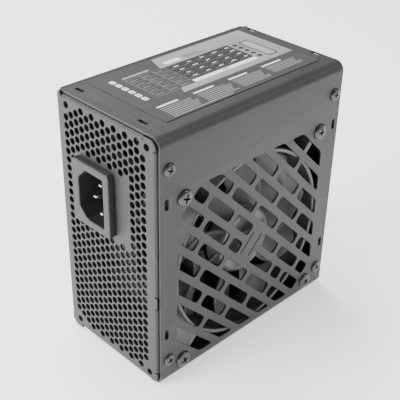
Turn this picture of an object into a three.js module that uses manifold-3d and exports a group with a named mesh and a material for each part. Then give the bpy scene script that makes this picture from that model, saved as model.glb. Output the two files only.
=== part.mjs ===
// Power supply unit in the small-form-factor section, with a 115 mm deep case.
// Millimetres. +Z up, origin at the centre of the case's bottom face.
// The mains panel faces -X, the socket panel +X, the fan side -Y and the back wall +Y.
import * as THREE from 'three';
import { mergeVertices } from 'three/addons/utils/BufferGeometryUtils.js';
import Module from 'manifold-3d';

const wasm = await Module();
wasm.setup();

// Case
const DEPTH = 115;
const THICKNESS = 63.5;
const HEIGHT = 125;
const SHEET = 1;
const COVER_BEND = 4.5;
const BASE_BEND = 1.2;
const SILL_BEND = 5;
const SILL = 7.5;
const FLANGE = 9;
const NEAR_FLANGE_GAP = [43, 50];
const NEAR_FLANGE_INSET = [7, 6];
const TOP_FLANGE_INSET = [8.75, 3.75];
const BOTTOM_FLANGE_INSET = [5.75, 8.75];

// Clearances: FIT around pieces that pass through each other, REST under pieces that lie on each other
const FIT = 0.3;
const REST = 0.1;

// Mains panel vents and chassis holes
const VENT_BORE = 3.2;
const VENT_PITCH = 4.07;
const VENT_COLUMN = 3.48;
const VENT_EDGE = 5;
const VENT_SHIFT_Y = 1.35;
const VENT_SHIFT_Z = 0.7;
const VENT_SIDES = 6;
const CHASSIS_EDGE_Y = 6.4;
const CHASSIS_EDGE_Z = 5.2;
const CHASSIS_BORE = 3.2;
const CHASSIS_LAND = 4.8;
const CHASSIS_SIDES = 8;

// Mains inlet
const INLET_Y = 7.05;
const INLET_Z = 83.8;
const BEZEL_WIDE = 24;
const BEZEL_TALL = 31;
const BEZEL_PROUD = 3.3;
const INLET_WIDE = 16.4;
const INLET_TALL = 24;
const INLET_CHAMFER = 5;
const INLET_DEEP = 15.5;
const INLET_WALL = 1.6;
const INLET_LAND_WIDE = 34.7;
const INLET_LAND_TALL = 36;
const PIN_WIDE = 4;
const PIN_THICK = 2;
const PIN_LONG = 18;
const PIN_SPACING = 14;
const PIN_OFFSET = 4;
const PIN_SINK = 2;
const PIN_NOSE = 1.2;
const PIN_TAPER = 0.8;
const INLET_BOARD_RIM = 3;

// Fan
const FAN_DEEP = 15;
const FAN_DUCT = 89;
const FAN_RING_WALL = 2;
const FAN_SCREW_INSET = 3.5;
const FAN_LUG = 8.4;
const FAN_RIB = 3;
const MOTOR_PLATE = 35;
const MOTOR_PLATE_THICK = 2;
const STRUT = 4;
const RING_SIDES = 36;
const HUB = 33;
const HUB_WALL = 1.4;
const HUB_SINK = 3.2;
const HUB_DEEP = 8.6;
const HUB_EASE = 1;
const BLADES = 9;
const BLADE_GAP = 1.6;
const BLADE_DEEP = 8.8;
const BLADE_THICK = 1.3;
const BLADE_SPAN = 33;
const BLADE_SWEEP = 24;
const BLADE_NARROWING = 0.25;
const BLADE_PITCH = 0.86;
const MAGNET_WALL = 1.6;
const SHAFT = 2;
const BEARING = 6;
const TUBE_WALL = 1.2;
const POLES = 4;
const POLE_WIDE = 2.6;
const STATOR_WALL = 2;
const STATOR_DEEP = 4.5;
const FAN_BOARD = 1;

// Grille windows, on lanes that run down to the right at 45 degrees
const GRILLE_X = -0.5;
const GRILLE_RISE = 0.6;
const GRILLE_WIDE = FAN_DUCT + 3.5;
const GRILLE_TALL = FAN_DUCT + 1.6;
const LANES = 12;
const LANE_PITCH = 9.39;
const LANE_WIDE = 5.8;
const BRIDGE = 3.1;
const BRIDGE_PITCH = 22.7;
const BADGE = 12;
const LANE_END = 55.3;
const LOWER_MIDDLE_BRIDGES = [-39.5, -16.4, 27.3, 37.8];
const WINDOW_CORNER = 1.3;

// Screws
const COVER_SCREW_INSET = 6;
const COVER_SCREW_LOW = 13;
const COVER_SCREW_HIGH = 14.6;
const COVER_SCREW = { head: 6, rise: 1.2, shank: 3, length: 5, recess: 3 };
const FAN_SCREW = { head: 7.8, rise: 1.5, shank: 4, length: 9, recess: 4.4 };
const BOARD_SCREW = { head: 5.6, rise: 1.6, shank: 3, length: 5, recess: 2.8 };
const RECESS_WIDE = 0.9;
const PAN_HEAD = { crown: 0.6, shoulder: 0.92, drop: 0.6, point: 0.8, floor: 0.3 };
const SCREW_SIDES = 10;
const SLOT_WIDE = 2;
const SLOT_LONG = 5;
const SLOT_INSET = 4.7;
const SIDE_SLOT_LOW = 28.1;
const SIDE_SLOT_HIGH = 30.1;
const TOP_SLOT_MAINS = 6.8;
const TOP_SLOT_OUTLET = 2.5;
const TOP_SLOT_FAR = 7.8;
const TOP_SLOT_NEAR = 15.6;

// Label
const LABEL_THICK = 0.2;
const LABEL_LEFT = 13;
const LABEL_RIGHT = 8.2;
const LABEL_NEAR = 9;
const LABEL_FAR = 3.5;

// Main board and its fixings
const BOARD = 1.6;
const BOARD_GAP = 5;
const BOARD_MARGIN = 4.5;
const BOARD_AC_GAP = 10.5;
const BOARD_DC_GAP = 13.5;
const BOARD_HOLE_INSET = 5;
const STANDOFF = 6;
const INSULATION = 0.4;
const INSULATION_RIM = 3;

// Parts on the main board. A place is x and z of a middle; high is a share of the room under the fan.
const EMI_CHOKE = { place: [-20, 104], high: 0.354, outer: 24, inner: 9 };
const PFC_CHOKE = { place: [8, 104], high: 0.404, outer: 26, inner: 10 };
const OUTPUT_INDUCTOR = { place: [33, 78], high: 0.303, outer: 20, inner: 7 };
const WINDING_EASE = 2;
const X_CAPACITOR = { place: [-23, 80.5], high: 0.379, wide: 18, tall: 9 };
const BRIDGE_RECTIFIER = { place: [-38, 45], high: 0.505, wide: 4, tall: 18 };
const STANDBY_TRANSFORMER = { place: [6, 16], high: 0.429, wide: 16, tall: 15 };
const TRANSFORMER = { place: [12, 42], high: 0.682, wide: 30, tall: 30, yoke: 6, leg: 9, lift: 3, core: 16.5 };
const BULK_CAPACITOR = { place: [-27, 22], high: 0.833, across: 25, sides: 20 };
const OUTPUT_CAPACITOR = { places: [[36, 28], [36, 41], [36, 54]], high: 0.556, across: 10, sides: 12 };
const PRIMARY_HEATSINK = { x: -12, z: [14, 72], high: 0.758 };
const SECONDARY_HEATSINK = { x: 10, z: [66, 86], high: 0.707 };
const HEATSINK = { thick: 3, fins: 5, reach: 5, fin: 1.2 };
const FUSE = { place: [-26, 60], lift: 4, long: 20, glass: 5, cap: 6, capLong: 5 };

// Leads
const LEAD = 2.4;
const LEAD_FEET = [[-37, 100], [-37, 66]];

// Sockets
const CELL = 4.2;
const SOCKET_RIM = 1;
const SOCKET_WIDE = 10.4;
const SOCKET_PROUD = 0.7;
const SOCKET_DEEP = 11.5;
const SOCKET_FLOOR = 2.5;
const SOCKET_COLUMN_Y = [15.5, 0.5];
const SOCKET_FOOT_Z = 17;
const SOCKET_GAP = 5.5;
const SOCKET_BOARD_Z = [10, 12];
const SOCKET_BOARD_RIM = 8;

const FAN_RING = FAN_DUCT + 2 * FAN_RING_WALL;
const FAN_SCREW_SPACING = FAN_RING - 2 * FAN_SCREW_INSET;
const FAN_Z = COVER_BEND + FIT + FAN_RING / 2;
const BACK = THICKNESS / 2;
const FRONT = -THICKNESS / 2;
const MAINS = -DEPTH / 2;
const OUTLET = DEPTH / 2;
const LEDGE = SHEET + FIT;

const FINISHES = {
  case: { color: 0x3a3b3d, roughness: 0.62, metalness: 0.35 },
  label: { color: 0x4a4b4d, roughness: 0.5, metalness: 0 },
  screw: { color: 0x55565a, roughness: 0.35, metalness: 0.9 },
  plastic: { color: 0x1b1c1e, roughness: 0.5, metalness: 0 },
  blade: { color: 0x2c2d30, roughness: 0.45, metalness: 0 },
  steel: { color: 0xb8babd, roughness: 0.3, metalness: 1 },
  brass: { color: 0xc9a75a, roughness: 0.35, metalness: 1 },
  copper: { color: 0xa8602f, roughness: 0.4, metalness: 0.8 },
  ferrite: { color: 0x2b2a29, roughness: 0.8, metalness: 0 },
  board: { color: 0x14301f, roughness: 0.6, metalness: 0 },
  aluminium: { color: 0xa9acb0, roughness: 0.4, metalness: 0.9 },
  sleeve: { color: 0x22242b, roughness: 0.4, metalness: 0 },
  film: { color: 0xd9d4c4, roughness: 0.35, metalness: 0 },
  yellow: { color: 0xb79a2c, roughness: 0.5, metalness: 0 },
  wire: { color: 0x6b2a24, roughness: 0.6, metalness: 0 },
};

// ---------------------------------------------------------------- geometry

// A closed geometry as a solid: shared vertices joined, slivers without area left out.
function solid(geometry) {
  const loose = geometry.index ? geometry.toNonIndexed() : geometry.clone();
  loose.deleteAttribute('normal');
  loose.deleteAttribute('uv');
  const shared = mergeVertices(loose, 1e-4);
  const corners = [];
  for (let i = 0; i < shared.index.count; i += 3) {
    const [a, b, c] = [0, 1, 2].map((k) => shared.index.getX(i + k));
    if (a !== b && b !== c && c !== a) corners.push(a, b, c);
  }
  return new wasm.Manifold(new wasm.Mesh({
    numProp: 3,
    vertProperties: new Float32Array(shared.attributes.position.array),
    triVerts: new Uint32Array(corners),
  }));
}

function geometryOf(body) {
  const mesh = body.getMesh();
  const geometry = new THREE.BufferGeometry();
  geometry.setAttribute('position', new THREE.BufferAttribute(mesh.vertProperties, 3));
  geometry.setIndex(new THREE.BufferAttribute(mesh.triVerts, 1));
  geometry.computeVertexNormals();
  return geometry;
}

const joined = (bodies) => bodies.reduce((sum, body) => sum.add(body));
const cut = (body, tools) => tools.reduce((left, tool) => left.subtract(tool), body);

// A block between two limits on each axis.
function block([x0, x1], [y0, y1], [z0, z1]) {
  const box = new THREE.BoxGeometry(x1 - x0, y1 - y0, z1 - z0);
  return solid(box.translate((x0 + x1) / 2, (y0 + y1) / 2, (z0 + z1) / 2));
}

const around = (middle, size) => [middle - size / 2, middle + size / 2];

// An outline drawn on two axes and extruded along the third, between two limits.
const AXES = {
  x: [[0, 1, 0], [0, 0, 1], [1, 0, 0]],
  y: [[0, 0, 1], [1, 0, 0], [0, 1, 0]],
  z: [[1, 0, 0], [0, 1, 0], [0, 0, 1]],
};

function along(axis, outline, [from, to]) {
  const shape = new THREE.ExtrudeGeometry(outline, { depth: to - from, bevelEnabled: false, curveSegments: 2 });
  const basis = AXES[axis].map((v) => new THREE.Vector3(...v));
  return solid(shape.translate(0, 0, from).applyMatrix4(new THREE.Matrix4().makeBasis(...basis)));
}

const polygon = (points) => new THREE.Shape(points.map(([a, b]) => new THREE.Vector2(a, b)));

// A round bar along an axis, centred on the two other coordinates in X, Y, Z order.
function rod(axis, [a, b], [from, to], diameter, sides = 12) {
  const bar = new THREE.CylinderGeometry(diameter / 2, diameter / 2, to - from, sides);
  const middle = (from + to) / 2;
  if (axis === 'x') return solid(bar.rotateZ(-Math.PI / 2).translate(middle, a, b));
  if (axis === 'y') return solid(bar.translate(a, middle, b));
  return solid(bar.rotateX(Math.PI / 2).translate(a, b, middle));
}

// A profile of [radius, y] points turned about an axis along Y through x, z.
function turned(profile, [x, z], sides) {
  const points = profile.map(([r, y]) => new THREE.Vector2(r, y));
  return solid(new THREE.LatheGeometry(points, sides).translate(x, 0, z));
}

// A ring about Y: outer and inner diameter, between two y limits.
function ring([x, z], [y0, y1], outer, inner, sides = 24) {
  const profile = [[inner / 2, y0], [outer / 2, y0], [outer / 2, y1], [inner / 2, y1], [inner / 2, y0]];
  return turned(profile, [x, z], sides);
}

// A tube of a few sides along a smooth curve through points.
function tube(points, diameter, sides, steps) {
  const round = new THREE.Path().absarc(0, 0, diameter / 2, 0, 2 * Math.PI);
  const circle = new THREE.Shape(round.getPoints(sides / 2));
  const route = new THREE.CatmullRomCurve3(points.map((p) => new THREE.Vector3(...p)));
  return solid(new THREE.ExtrudeGeometry(circle, { steps, extrudePath: route, bevelEnabled: false }));
}

// What is left of a square edge along X, Y or Z when a bend of the given radius is taken from it.
function edgeRound(axis, [a, b], [inA, inB], radius, limits) {
  const size = radius + REST;
  const [outA, outB] = [-inA, -inB];
  const outline = new THREE.Shape();
  const [ca, cb] = [a + inA * radius, b + inB * radius];
  const turns = 3;
  const points = [[a + outA * REST, b + outB * REST], [a + inA * radius, b + outB * REST]];
  for (let i = 0; i <= turns; i += 1) {
    const angle = (i / turns) * (Math.PI / 2);
    points.push([ca + outA * radius * Math.sin(angle), cb + outB * radius * Math.cos(angle)]);
  }
  points.push([a + outA * REST, b + inB * (size - REST)]);
  outline.setFromPoints(points.map(([p, q]) => new THREE.Vector2(p, q)));
  return along(axis, outline, limits);
}

const group = new THREE.Group();

function piece(name, body, finish) {
  const mesh = new THREE.Mesh(geometryOf(body), new THREE.MeshStandardMaterial(FINISHES[finish]));
  mesh.name = name;
  group.add(mesh);
}

// ---------------------------------------------------------------- case

// Vents lie in staggered columns and stop short of the chassis holes and of the inlet.
function ventCentres() {
  const centres = [];
  const chassis = chassisHoles();
  const nearInlet = ([y, z]) => {
    const right = INLET_Y + BEZEL_WIDE / 2 + VENT_BORE / 2;
    return y < right && y > right - INLET_LAND_WIDE && Math.abs(z - INLET_Z) < INLET_LAND_TALL / 2;
  };
  const columns = Math.floor((THICKNESS / 2 - VENT_EDGE) / VENT_COLUMN);
  const rows = Math.floor((HEIGHT / 2 - VENT_EDGE) / VENT_PITCH);
  for (let column = -columns; column <= columns; column += 1) {
    const shift = column % 2 === 0 ? 0 : 0.5;
    for (let row = -rows; row <= rows - 2 * shift; row += 1) {
      const y = VENT_SHIFT_Y - column * VENT_COLUMN;
      const centre = [y, HEIGHT / 2 + VENT_SHIFT_Z + (row + shift) * VENT_PITCH];
      const clear = chassis.every(([y, z]) => Math.hypot(y - centre[0], z - centre[1]) > CHASSIS_LAND);
      if (clear && !nearInlet(centre)) centres.push(centre);
    }
  }
  return centres;
}

function chassisHoles() {
  const ys = [FRONT + CHASSIS_EDGE_Y, BACK - CHASSIS_EDGE_Y];
  const zs = [CHASSIS_EDGE_Z, HEIGHT - CHASSIS_EDGE_Z];
  return ys.flatMap((y) => zs.map((z) => [y, z]));
}

// Outline of an end panel: it lies inside the cover on three sides and meets the back wall on the fourth.
function panelOutline() {
  const corner = COVER_BEND - LEDGE;
  const near = FRONT + LEDGE;
  const [low, high] = [LEDGE, HEIGHT - LEDGE];
  const outline = new THREE.Shape();
  outline.moveTo(near + corner, low);
  outline.lineTo(BACK - SILL, low);
  outline.lineTo(BACK - SILL, 0);
  outline.lineTo(BACK - SILL_BEND, 0);
  outline.absarc(BACK - SILL_BEND, SILL_BEND, SILL_BEND, -Math.PI / 2, 0, false);
  outline.lineTo(BACK, HEIGHT);
  outline.lineTo(BACK - 2 * LEDGE, HEIGHT);
  outline.lineTo(BACK - 2 * LEDGE, high);
  outline.lineTo(near + corner, high);
  outline.absarc(near + corner, high - corner, corner, Math.PI / 2, Math.PI, false);
  outline.absarc(near + corner, low + corner, corner, Math.PI, 1.5 * Math.PI, false);
  return outline;
}

// The back wall rolls into a short sill at the bottom and ends in a cut edge at the top.
function backWall() {
  const outline = new THREE.Shape();
  outline.moveTo(BACK, HEIGHT);
  outline.lineTo(BACK - SHEET, HEIGHT);
  outline.lineTo(BACK - SHEET, SILL_BEND);
  outline.absarc(BACK - SILL_BEND, SILL_BEND, SILL_BEND - SHEET, 0, -Math.PI / 2, true);
  outline.lineTo(BACK - SILL, SHEET);
  outline.lineTo(BACK - SILL, 0);
  outline.lineTo(BACK - SILL_BEND, 0);
  outline.absarc(BACK - SILL_BEND, SILL_BEND, SILL_BEND, -Math.PI / 2, 0, false);
  return along('x', outline, [MAINS, OUTLET]);
}

// Flanges fold inward from an end panel, under the top wall, the bottom wall and the fan side.
const NEAR_FLANGES = [
  [NEAR_FLANGE_INSET[0], NEAR_FLANGE_GAP[0]],
  [NEAR_FLANGE_GAP[1], HEIGHT - NEAR_FLANGE_INSET[1]],
];
const TOP_FLANGE = [FRONT + TOP_FLANGE_INSET[0], BACK - TOP_FLANGE_INSET[1]];
const BOTTOM_FLANGE = [FRONT + BOTTOM_FLANGE_INSET[0], BACK - BOTTOM_FLANGE_INSET[1]];

function endPanel(side) {
  const face = side * OUTLET;
  const span = (deep) => (side < 0 ? [face, face + deep] : [face - deep, face]);
  const near = FRONT + LEDGE;
  const [low, high] = [LEDGE, HEIGHT - LEDGE];
  const inward = -side;
  const bodies = [
    along('x', panelOutline(), span(SHEET)),
    block(span(FLANGE), TOP_FLANGE, [high - SHEET, high]),
    block(span(FLANGE), BOTTOM_FLANGE, [low, low + SHEET]),
    ...NEAR_FLANGES.map((z) => block(span(FLANGE), [near, near + SHEET], z)),
  ];
  const rounds = [
    edgeRound('y', [high, face], [-1, inward], BASE_BEND, TOP_FLANGE),
    edgeRound('y', [low, face], [1, inward], BASE_BEND, BOTTOM_FLANGE),
    ...NEAR_FLANGES.map((z) => edgeRound('z', [face, near], [inward, 1], BASE_BEND, z)),
  ];
  return cut(joined(bodies), rounds);
}

function baseShell() {
  const mainsWall = [MAINS - SHEET, MAINS + 2 * SHEET];
  const vents = ventCentres().map((c) => rod('x', c, mainsWall, VENT_BORE, VENT_SIDES));
  const chassis = chassisHoles().map((c) => rod('x', c, mainsWall, CHASSIS_BORE, CHASSIS_SIDES));
  const inlet = along('x', inletOutline(INLET_WALL + FIT), mainsWall);
  const flangeY = [FRONT, FRONT + 3 * SHEET];
  const tapped = coverScrewPlaces().map((c) => rod('y', c, flangeY, COVER_SCREW.shank + 2 * FIT));
  const sockets = socketPlaces().map(({ y, z, long }) => block(
    [OUTLET - 2 * SHEET, OUTLET + SHEET],
    around(y, SOCKET_WIDE + 2 * FIT),
    around(z, long + 2 * FIT),
  ));
  const corners = [-1, 1].map((side) => edgeRound(
    'z', [side * OUTLET, BACK], [-side, -1], BASE_BEND, [SILL_BEND + 3, HEIGHT - SILL],
  ));
  const folded = joined([backWall(), endPanel(-1), endPanel(1)]);
  const openings = [joined([...vents, ...chassis]), inlet, ...tapped, ...sockets];
  return cut(folded, [...openings, ...topSlots(), ...sideSlots(), ...corners]);
}

// The grille's lanes are drawn in turned coordinates: across is measured up to the right, down is along a lane.
function laneBridges(lane) {
  const rank = lane > 0 ? lane : 1 - lane;
  if (rank === LANES / 2) return [];
  if (lane === 0) return LOWER_MIDDLE_BRIDGES;
  const shift = rank % 2 === 1 ? 0 : 0.5;
  const reach = LANES / 2 - 1 - rank;
  const bridges = [];
  for (let step = -3; step <= 3; step += 1) {
    const place = (step + shift) * BRIDGE_PITCH;
    const badge = rank === 1 && step === 0;
    if (!badge && Math.abs(place) <= (reach / 2 + 0.1) * BRIDGE_PITCH) bridges.push(place);
  }
  return bridges;
}

function laneWindows(lane) {
  const rank = lane > 0 ? lane : 1 - lane;
  const stops = laneBridges(lane).map((place) => around(place, BRIDGE));
  if (rank === 1) stops.push(around(0, BADGE));
  stops.sort((a, b) => a[0] - b[0]);
  const ends = rank === 1 ? LANE_END : GRILLE_WIDE;
  const starts = [-ends, ...stops.map(([, after]) => after)];
  return starts.map((start, i) => [start, i < stops.length ? stops[i][0] : ends]);
}

// One window: the rectangle on its lane, clipped to the grille's field, with its corners cut.
function windowOutline(lane, [start, stop]) {
  const middle = (lane - 0.5) * LANE_PITCH;
  const [low, high] = around(middle, LANE_WIDE);
  const root = Math.SQRT1_2;
  const place = ([down, across]) => [(across + down) * root, (across - down) * root];
  let corners = [[start, low], [stop, low], [stop, high], [start, high]].map(place);
  const [halfX, halfZ] = [GRILLE_WIDE / 2, GRILLE_TALL / 2];
  const sides = [[1, 0, halfX], [-1, 0, halfX], [0, 1, halfZ], [0, -1, halfZ]];
  for (const [a, b, limit] of sides) corners = clipped(corners, a, b, limit);
  return cutCorners(corners, WINDOW_CORNER).map(([x, z]) => [x + GRILLE_X, z + FAN_Z + GRILLE_RISE]);
}

function clipped(corners, a, b, limit) {
  const depth = ([x, z]) => limit - a * x - b * z;
  const kept = [];
  corners.forEach((here, i) => {
    const next = corners[(i + 1) % corners.length];
    const [dHere, dNext] = [depth(here), depth(next)];
    if (dHere >= 0) kept.push(here);
    if (dHere * dNext < 0) {
      const share = dHere / (dHere - dNext);
      kept.push([here[0] + share * (next[0] - here[0]), here[1] + share * (next[1] - here[1])]);
    }
  });
  return kept;
}

function cutCorners(corners, radius) {
  return corners.flatMap((here, i) => {
    const before = corners[(i + corners.length - 1) % corners.length];
    const after = corners[(i + 1) % corners.length];
    return [before, after].map((other) => {
      const length = Math.hypot(other[0] - here[0], other[1] - here[1]);
      const share = Math.min(radius / 2, length / 3) / length;
      return [here[0] + share * (other[0] - here[0]), here[1] + share * (other[1] - here[1])];
    });
  });
}

function grilleWindows() {
  const windows = [];
  for (let lane = 1 - LANES / 2; lane <= LANES / 2; lane += 1) {
    for (const span of laneWindows(lane)) windows.push(windowOutline(lane, span));
  }
  return windows.map((corners) => along(
    'y', polygon(corners.map(([x, z]) => [z, x])), [FRONT - SHEET, FRONT + 2 * SHEET],
  ));
}

function coverScrewPlaces() {
  const zs = [COVER_SCREW_LOW, HEIGHT - COVER_SCREW_HIGH];
  return [-1, 1].flatMap((side) => zs.map((z) => [side * (OUTLET - COVER_SCREW_INSET), z]));
}

// Slots near the edges of the fan side and of the top wall, through the cover and the flange under it.
function sideSlots() {
  const zs = [SIDE_SLOT_LOW, HEIGHT - SIDE_SLOT_HIGH];
  const deep = [FRONT - SHEET, FRONT + 3 * SHEET];
  return [-1, 1].flatMap((side) => zs.map((z) => block(
    around(side * (OUTLET - SLOT_INSET), SLOT_WIDE), deep, around(z, SLOT_LONG),
  )));
}

function topSlots() {
  const ys = [FRONT + TOP_SLOT_NEAR, BACK - TOP_SLOT_FAR];
  const deep = [HEIGHT - 3 * SHEET, HEIGHT + SHEET];
  return [MAINS + TOP_SLOT_MAINS, OUTLET - TOP_SLOT_OUTLET].flatMap((x) => (
    ys.map((y) => block(around(x, SLOT_WIDE), around(y, SLOT_LONG), deep))
  ));
}

function fanScrewPlaces() {
  const half = FAN_SCREW_SPACING / 2;
  return [-1, 1].flatMap((side) => [-1, 1].map((up) => [side * half, FAN_Z + up * half]));
}

function coverProfile() {
  const outline = new THREE.Shape();
  const inner = COVER_BEND - SHEET;
  const [c, top] = [FRONT + COVER_BEND, HEIGHT - COVER_BEND];
  outline.moveTo(BACK - LEDGE, HEIGHT);
  outline.lineTo(c, HEIGHT);
  outline.absarc(c, top, COVER_BEND, Math.PI / 2, Math.PI, false);
  outline.absarc(c, COVER_BEND, COVER_BEND, Math.PI, 1.5 * Math.PI, false);
  outline.lineTo(BACK - SILL - FIT, 0);
  outline.lineTo(BACK - SILL - FIT, SHEET);
  outline.lineTo(c, SHEET);
  outline.absarc(c, COVER_BEND, inner, 1.5 * Math.PI, Math.PI, true);
  outline.absarc(c, top, inner, Math.PI, Math.PI / 2, true);
  outline.lineTo(BACK - LEDGE, HEIGHT - SHEET);
  return outline;
}

function coverShell() {
  const folded = along('x', coverProfile(), [MAINS + FIT, OUTLET - FIT]);
  const fanSide = [FRONT - SHEET, FRONT + 2 * SHEET];
  const screwHoles = coverScrewPlaces().map((c) => rod('y', c, fanSide, COVER_SCREW.shank + 2 * FIT));
  const fanHoles = fanScrewPlaces().map((c) => rod('y', c, fanSide, FAN_SCREW.shank + 2 * FIT));
  // At the back corner beside each end panel the top wall stops short of the back wall's folded corner.
  const steps = [-1, 1].map((side) => block(
    side < 0 ? [MAINS - SHEET, MAINS + LEDGE] : [OUTLET - LEDGE, OUTLET + SHEET],
    [BACK - 2 * LEDGE - FIT, BACK], [HEIGHT - 2 * SHEET, HEIGHT + SHEET],
  ));
  const openings = [joined(grilleWindows()), ...screwHoles, ...fanHoles, ...sideSlots(), ...topSlots()];
  return cut(folded, [...openings, ...steps]);
}

function label() {
  const y = [FRONT + LABEL_NEAR, BACK - LABEL_FAR];
  return block([MAINS + LABEL_LEFT, OUTLET - LABEL_RIGHT], y, [HEIGHT + REST, HEIGHT + REST + LABEL_THICK]);
}

// A pan-head screw along Y: face is where its head rests, way is +1 when it is driven towards +Y.
function screw({ head, rise, shank, length, recess }, [x, z], face, way = 1) {
  const r = head / 2;
  const seat = face - way * REST;
  const { crown, shoulder, drop, point, floor } = PAN_HEAD;
  const profile = [
    [0, seat - way * rise], [r * crown, seat - way * rise], [r * shoulder, seat - way * rise * drop], [r, seat],
    [shank / 2, seat], [shank / 2, seat + way * length * point], [0, seat + way * length],
  ];
  const body = turned(way > 0 ? profile : profile.reverse(), [x, z], SCREW_SIDES);
  const depth = way > 0 ? [seat - 2 * rise, seat - rise * floor] : [seat + rise * floor, seat + 2 * rise];
  return cut(body, [
    block(around(x, recess), depth, around(z, RECESS_WIDE)),
    block(around(x, RECESS_WIDE), depth, around(z, recess)),
  ]);
}

// ---------------------------------------------------------------- mains inlet

function inletOutline(grow) {
  const [w, t] = [INLET_WIDE / 2 + grow, INLET_TALL / 2 + grow];
  const c = INLET_CHAMFER;
  return polygon([
    [INLET_Y - w, INLET_Z - t], [INLET_Y + w - c, INLET_Z - t], [INLET_Y + w, INLET_Z - t + c],
    [INLET_Y + w, INLET_Z + t - c], [INLET_Y + w - c, INLET_Z + t], [INLET_Y - w, INLET_Z + t],
  ]);
}

function inletBody() {
  const mouth = MAINS - REST - BEZEL_PROUD;
  const floor = mouth + INLET_DEEP;
  const back = floor + INLET_WALL;
  const bezel = block([mouth, MAINS - REST], around(INLET_Y, BEZEL_WIDE), around(INLET_Z, BEZEL_TALL));
  const shell = along('x', inletOutline(INLET_WALL), [MAINS - 2 * REST, back]);
  const cavity = along('x', inletOutline(0), [mouth - SHEET, floor]);
  const slots = pinPlaces().map(([y, z]) => block(
    [floor - SHEET, back + SHEET], around(y, PIN_WIDE + 2 * FIT), around(z, PIN_THICK + 2 * FIT),
  ));
  return cut(bezel.add(shell), [cavity, ...slots]);
}

function pinPlaces() {
  const [y, half] = [INLET_Y - PIN_OFFSET, PIN_SPACING / 2];
  return [[y, INLET_Z + half], [y, INLET_Z - half], [INLET_Y, INLET_Z]];
}

function inletPin([y, z]) {
  const tip = MAINS - BEZEL_PROUD + PIN_SINK;
  const [shoulder, foot] = [tip + PIN_NOSE, tip + PIN_LONG];
  const [left, right] = around(y, PIN_WIDE);
  const nose = polygon([
    [tip, left + PIN_TAPER], [shoulder, left], [foot, left], [foot, right], [shoulder, right],
    [tip, right - PIN_TAPER],
  ]);
  return along('z', nose, around(z, PIN_THICK));
}

// ---------------------------------------------------------------- fan

const FAN_FACE = FRONT + SHEET + REST;
const FAN_BACK = FAN_FACE + FAN_DEEP;
const FAN_AXIS = [0, FAN_Z];
const BEARING_TOP = FAN_FACE + HUB_SINK + HUB_WALL + 1;
const BEARING_FOOT = FAN_BACK - MOTOR_PLATE_THICK / 2;

// Turned about the fan's axis by so many quarter turns.
function turnedAbout(body, quarters) {
  return body.translate([0, 0, -FAN_Z]).rotate([0, 90 * quarters, 0]).translate([0, 0, FAN_Z]);
}

// A lug for a screw on the end of a radial rib, for each corner.
function fanLugs() {
  const reach = FAN_SCREW_SPACING * Math.SQRT1_2;
  const inner = FAN_DUCT / 2 + FAN_RING_WALL / 2;
  const rib = block([inner, reach], [FAN_FACE, FAN_BACK], around(0, FAN_RIB)).rotate([0, 45, 0]);
  const ribs = [0, 1, 2, 3].map((quarter) => turnedAbout(rib.translate([0, 0, FAN_Z]), quarter));
  return [...ribs, ...fanScrewPlaces().map((p) => rod('y', p, [FAN_FACE, FAN_BACK], FAN_LUG, 16))];
}

// A round duct with four lugs, and a motor plate with a bearing tube behind on four struts.
function fanFrame() {
  const rear = [FAN_BACK - MOTOR_PLATE_THICK, FAN_BACK];
  const through = [FAN_FACE - SHEET, FAN_BACK + SHEET];
  const tube = BEARING + 2 * FIT;
  const reach = [MOTOR_PLATE / 2 - STRUT / 2, FAN_DUCT / 2 + FAN_RING_WALL / 2];
  const strut = block(reach, rear, around(FAN_Z, STRUT));
  const struts = [0, 1, 2, 3].map((quarter) => turnedAbout(strut, quarter));
  const outer = joined([rod('y', FAN_AXIS, [FAN_FACE, FAN_BACK], FAN_RING, RING_SIDES), ...fanLugs()]);
  const duct = rod('y', FAN_AXIS, through, FAN_DUCT, RING_SIDES);
  const holes = fanScrewPlaces().map((p) => rod('y', p, through, FAN_SCREW.shank + 2 * FIT));
  const plate = rod('y', FAN_AXIS, rear, MOTOR_PLATE, 24);
  const post = rod('y', FAN_AXIS, [BEARING_TOP, FAN_BACK], tube + 2 * TUBE_WALL, 16);
  const bore = rod('y', FAN_AXIS, [BEARING_TOP - SHEET, BEARING_FOOT], tube, 16);
  return cut(joined([cut(outer, [duct, ...holes]), plate, post, ...struts]), [bore]);
}

const HUB_FACE = FAN_FACE + HUB_SINK;
const BLADE_TIP = FAN_DUCT / 2 - BLADE_GAP;

// A blade: a thin plate from the hub to the tip, twisted, swept forward and inclined across the duct.
function blade(turn) {
  const root = HUB / 2 - HUB_WALL / 2;
  const plate = new THREE.BoxGeometry(1, 1, 1, 4, 2, 1);
  const at = plate.attributes.position;
  for (let i = 0; i < at.count; i += 1) {
    const out = at.getX(i) + 0.5;
    const chord = at.getY(i);
    const radius = root + out * (BLADE_TIP - root);
    const span = BLADE_SPAN * (1 - BLADE_NARROWING * out);
    const degrees = turn + chord * span + BLADE_SWEEP * out * out;
    const angle = THREE.MathUtils.degToRad(degrees);
    const y = HUB_FACE + FIT + BLADE_DEEP * (0.5 + chord * BLADE_PITCH) - at.getZ(i) * BLADE_THICK;
    at.setXYZ(i, radius * Math.cos(angle), y, radius * Math.sin(angle) + FAN_Z);
  }
  return solid(plate);
}

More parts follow.
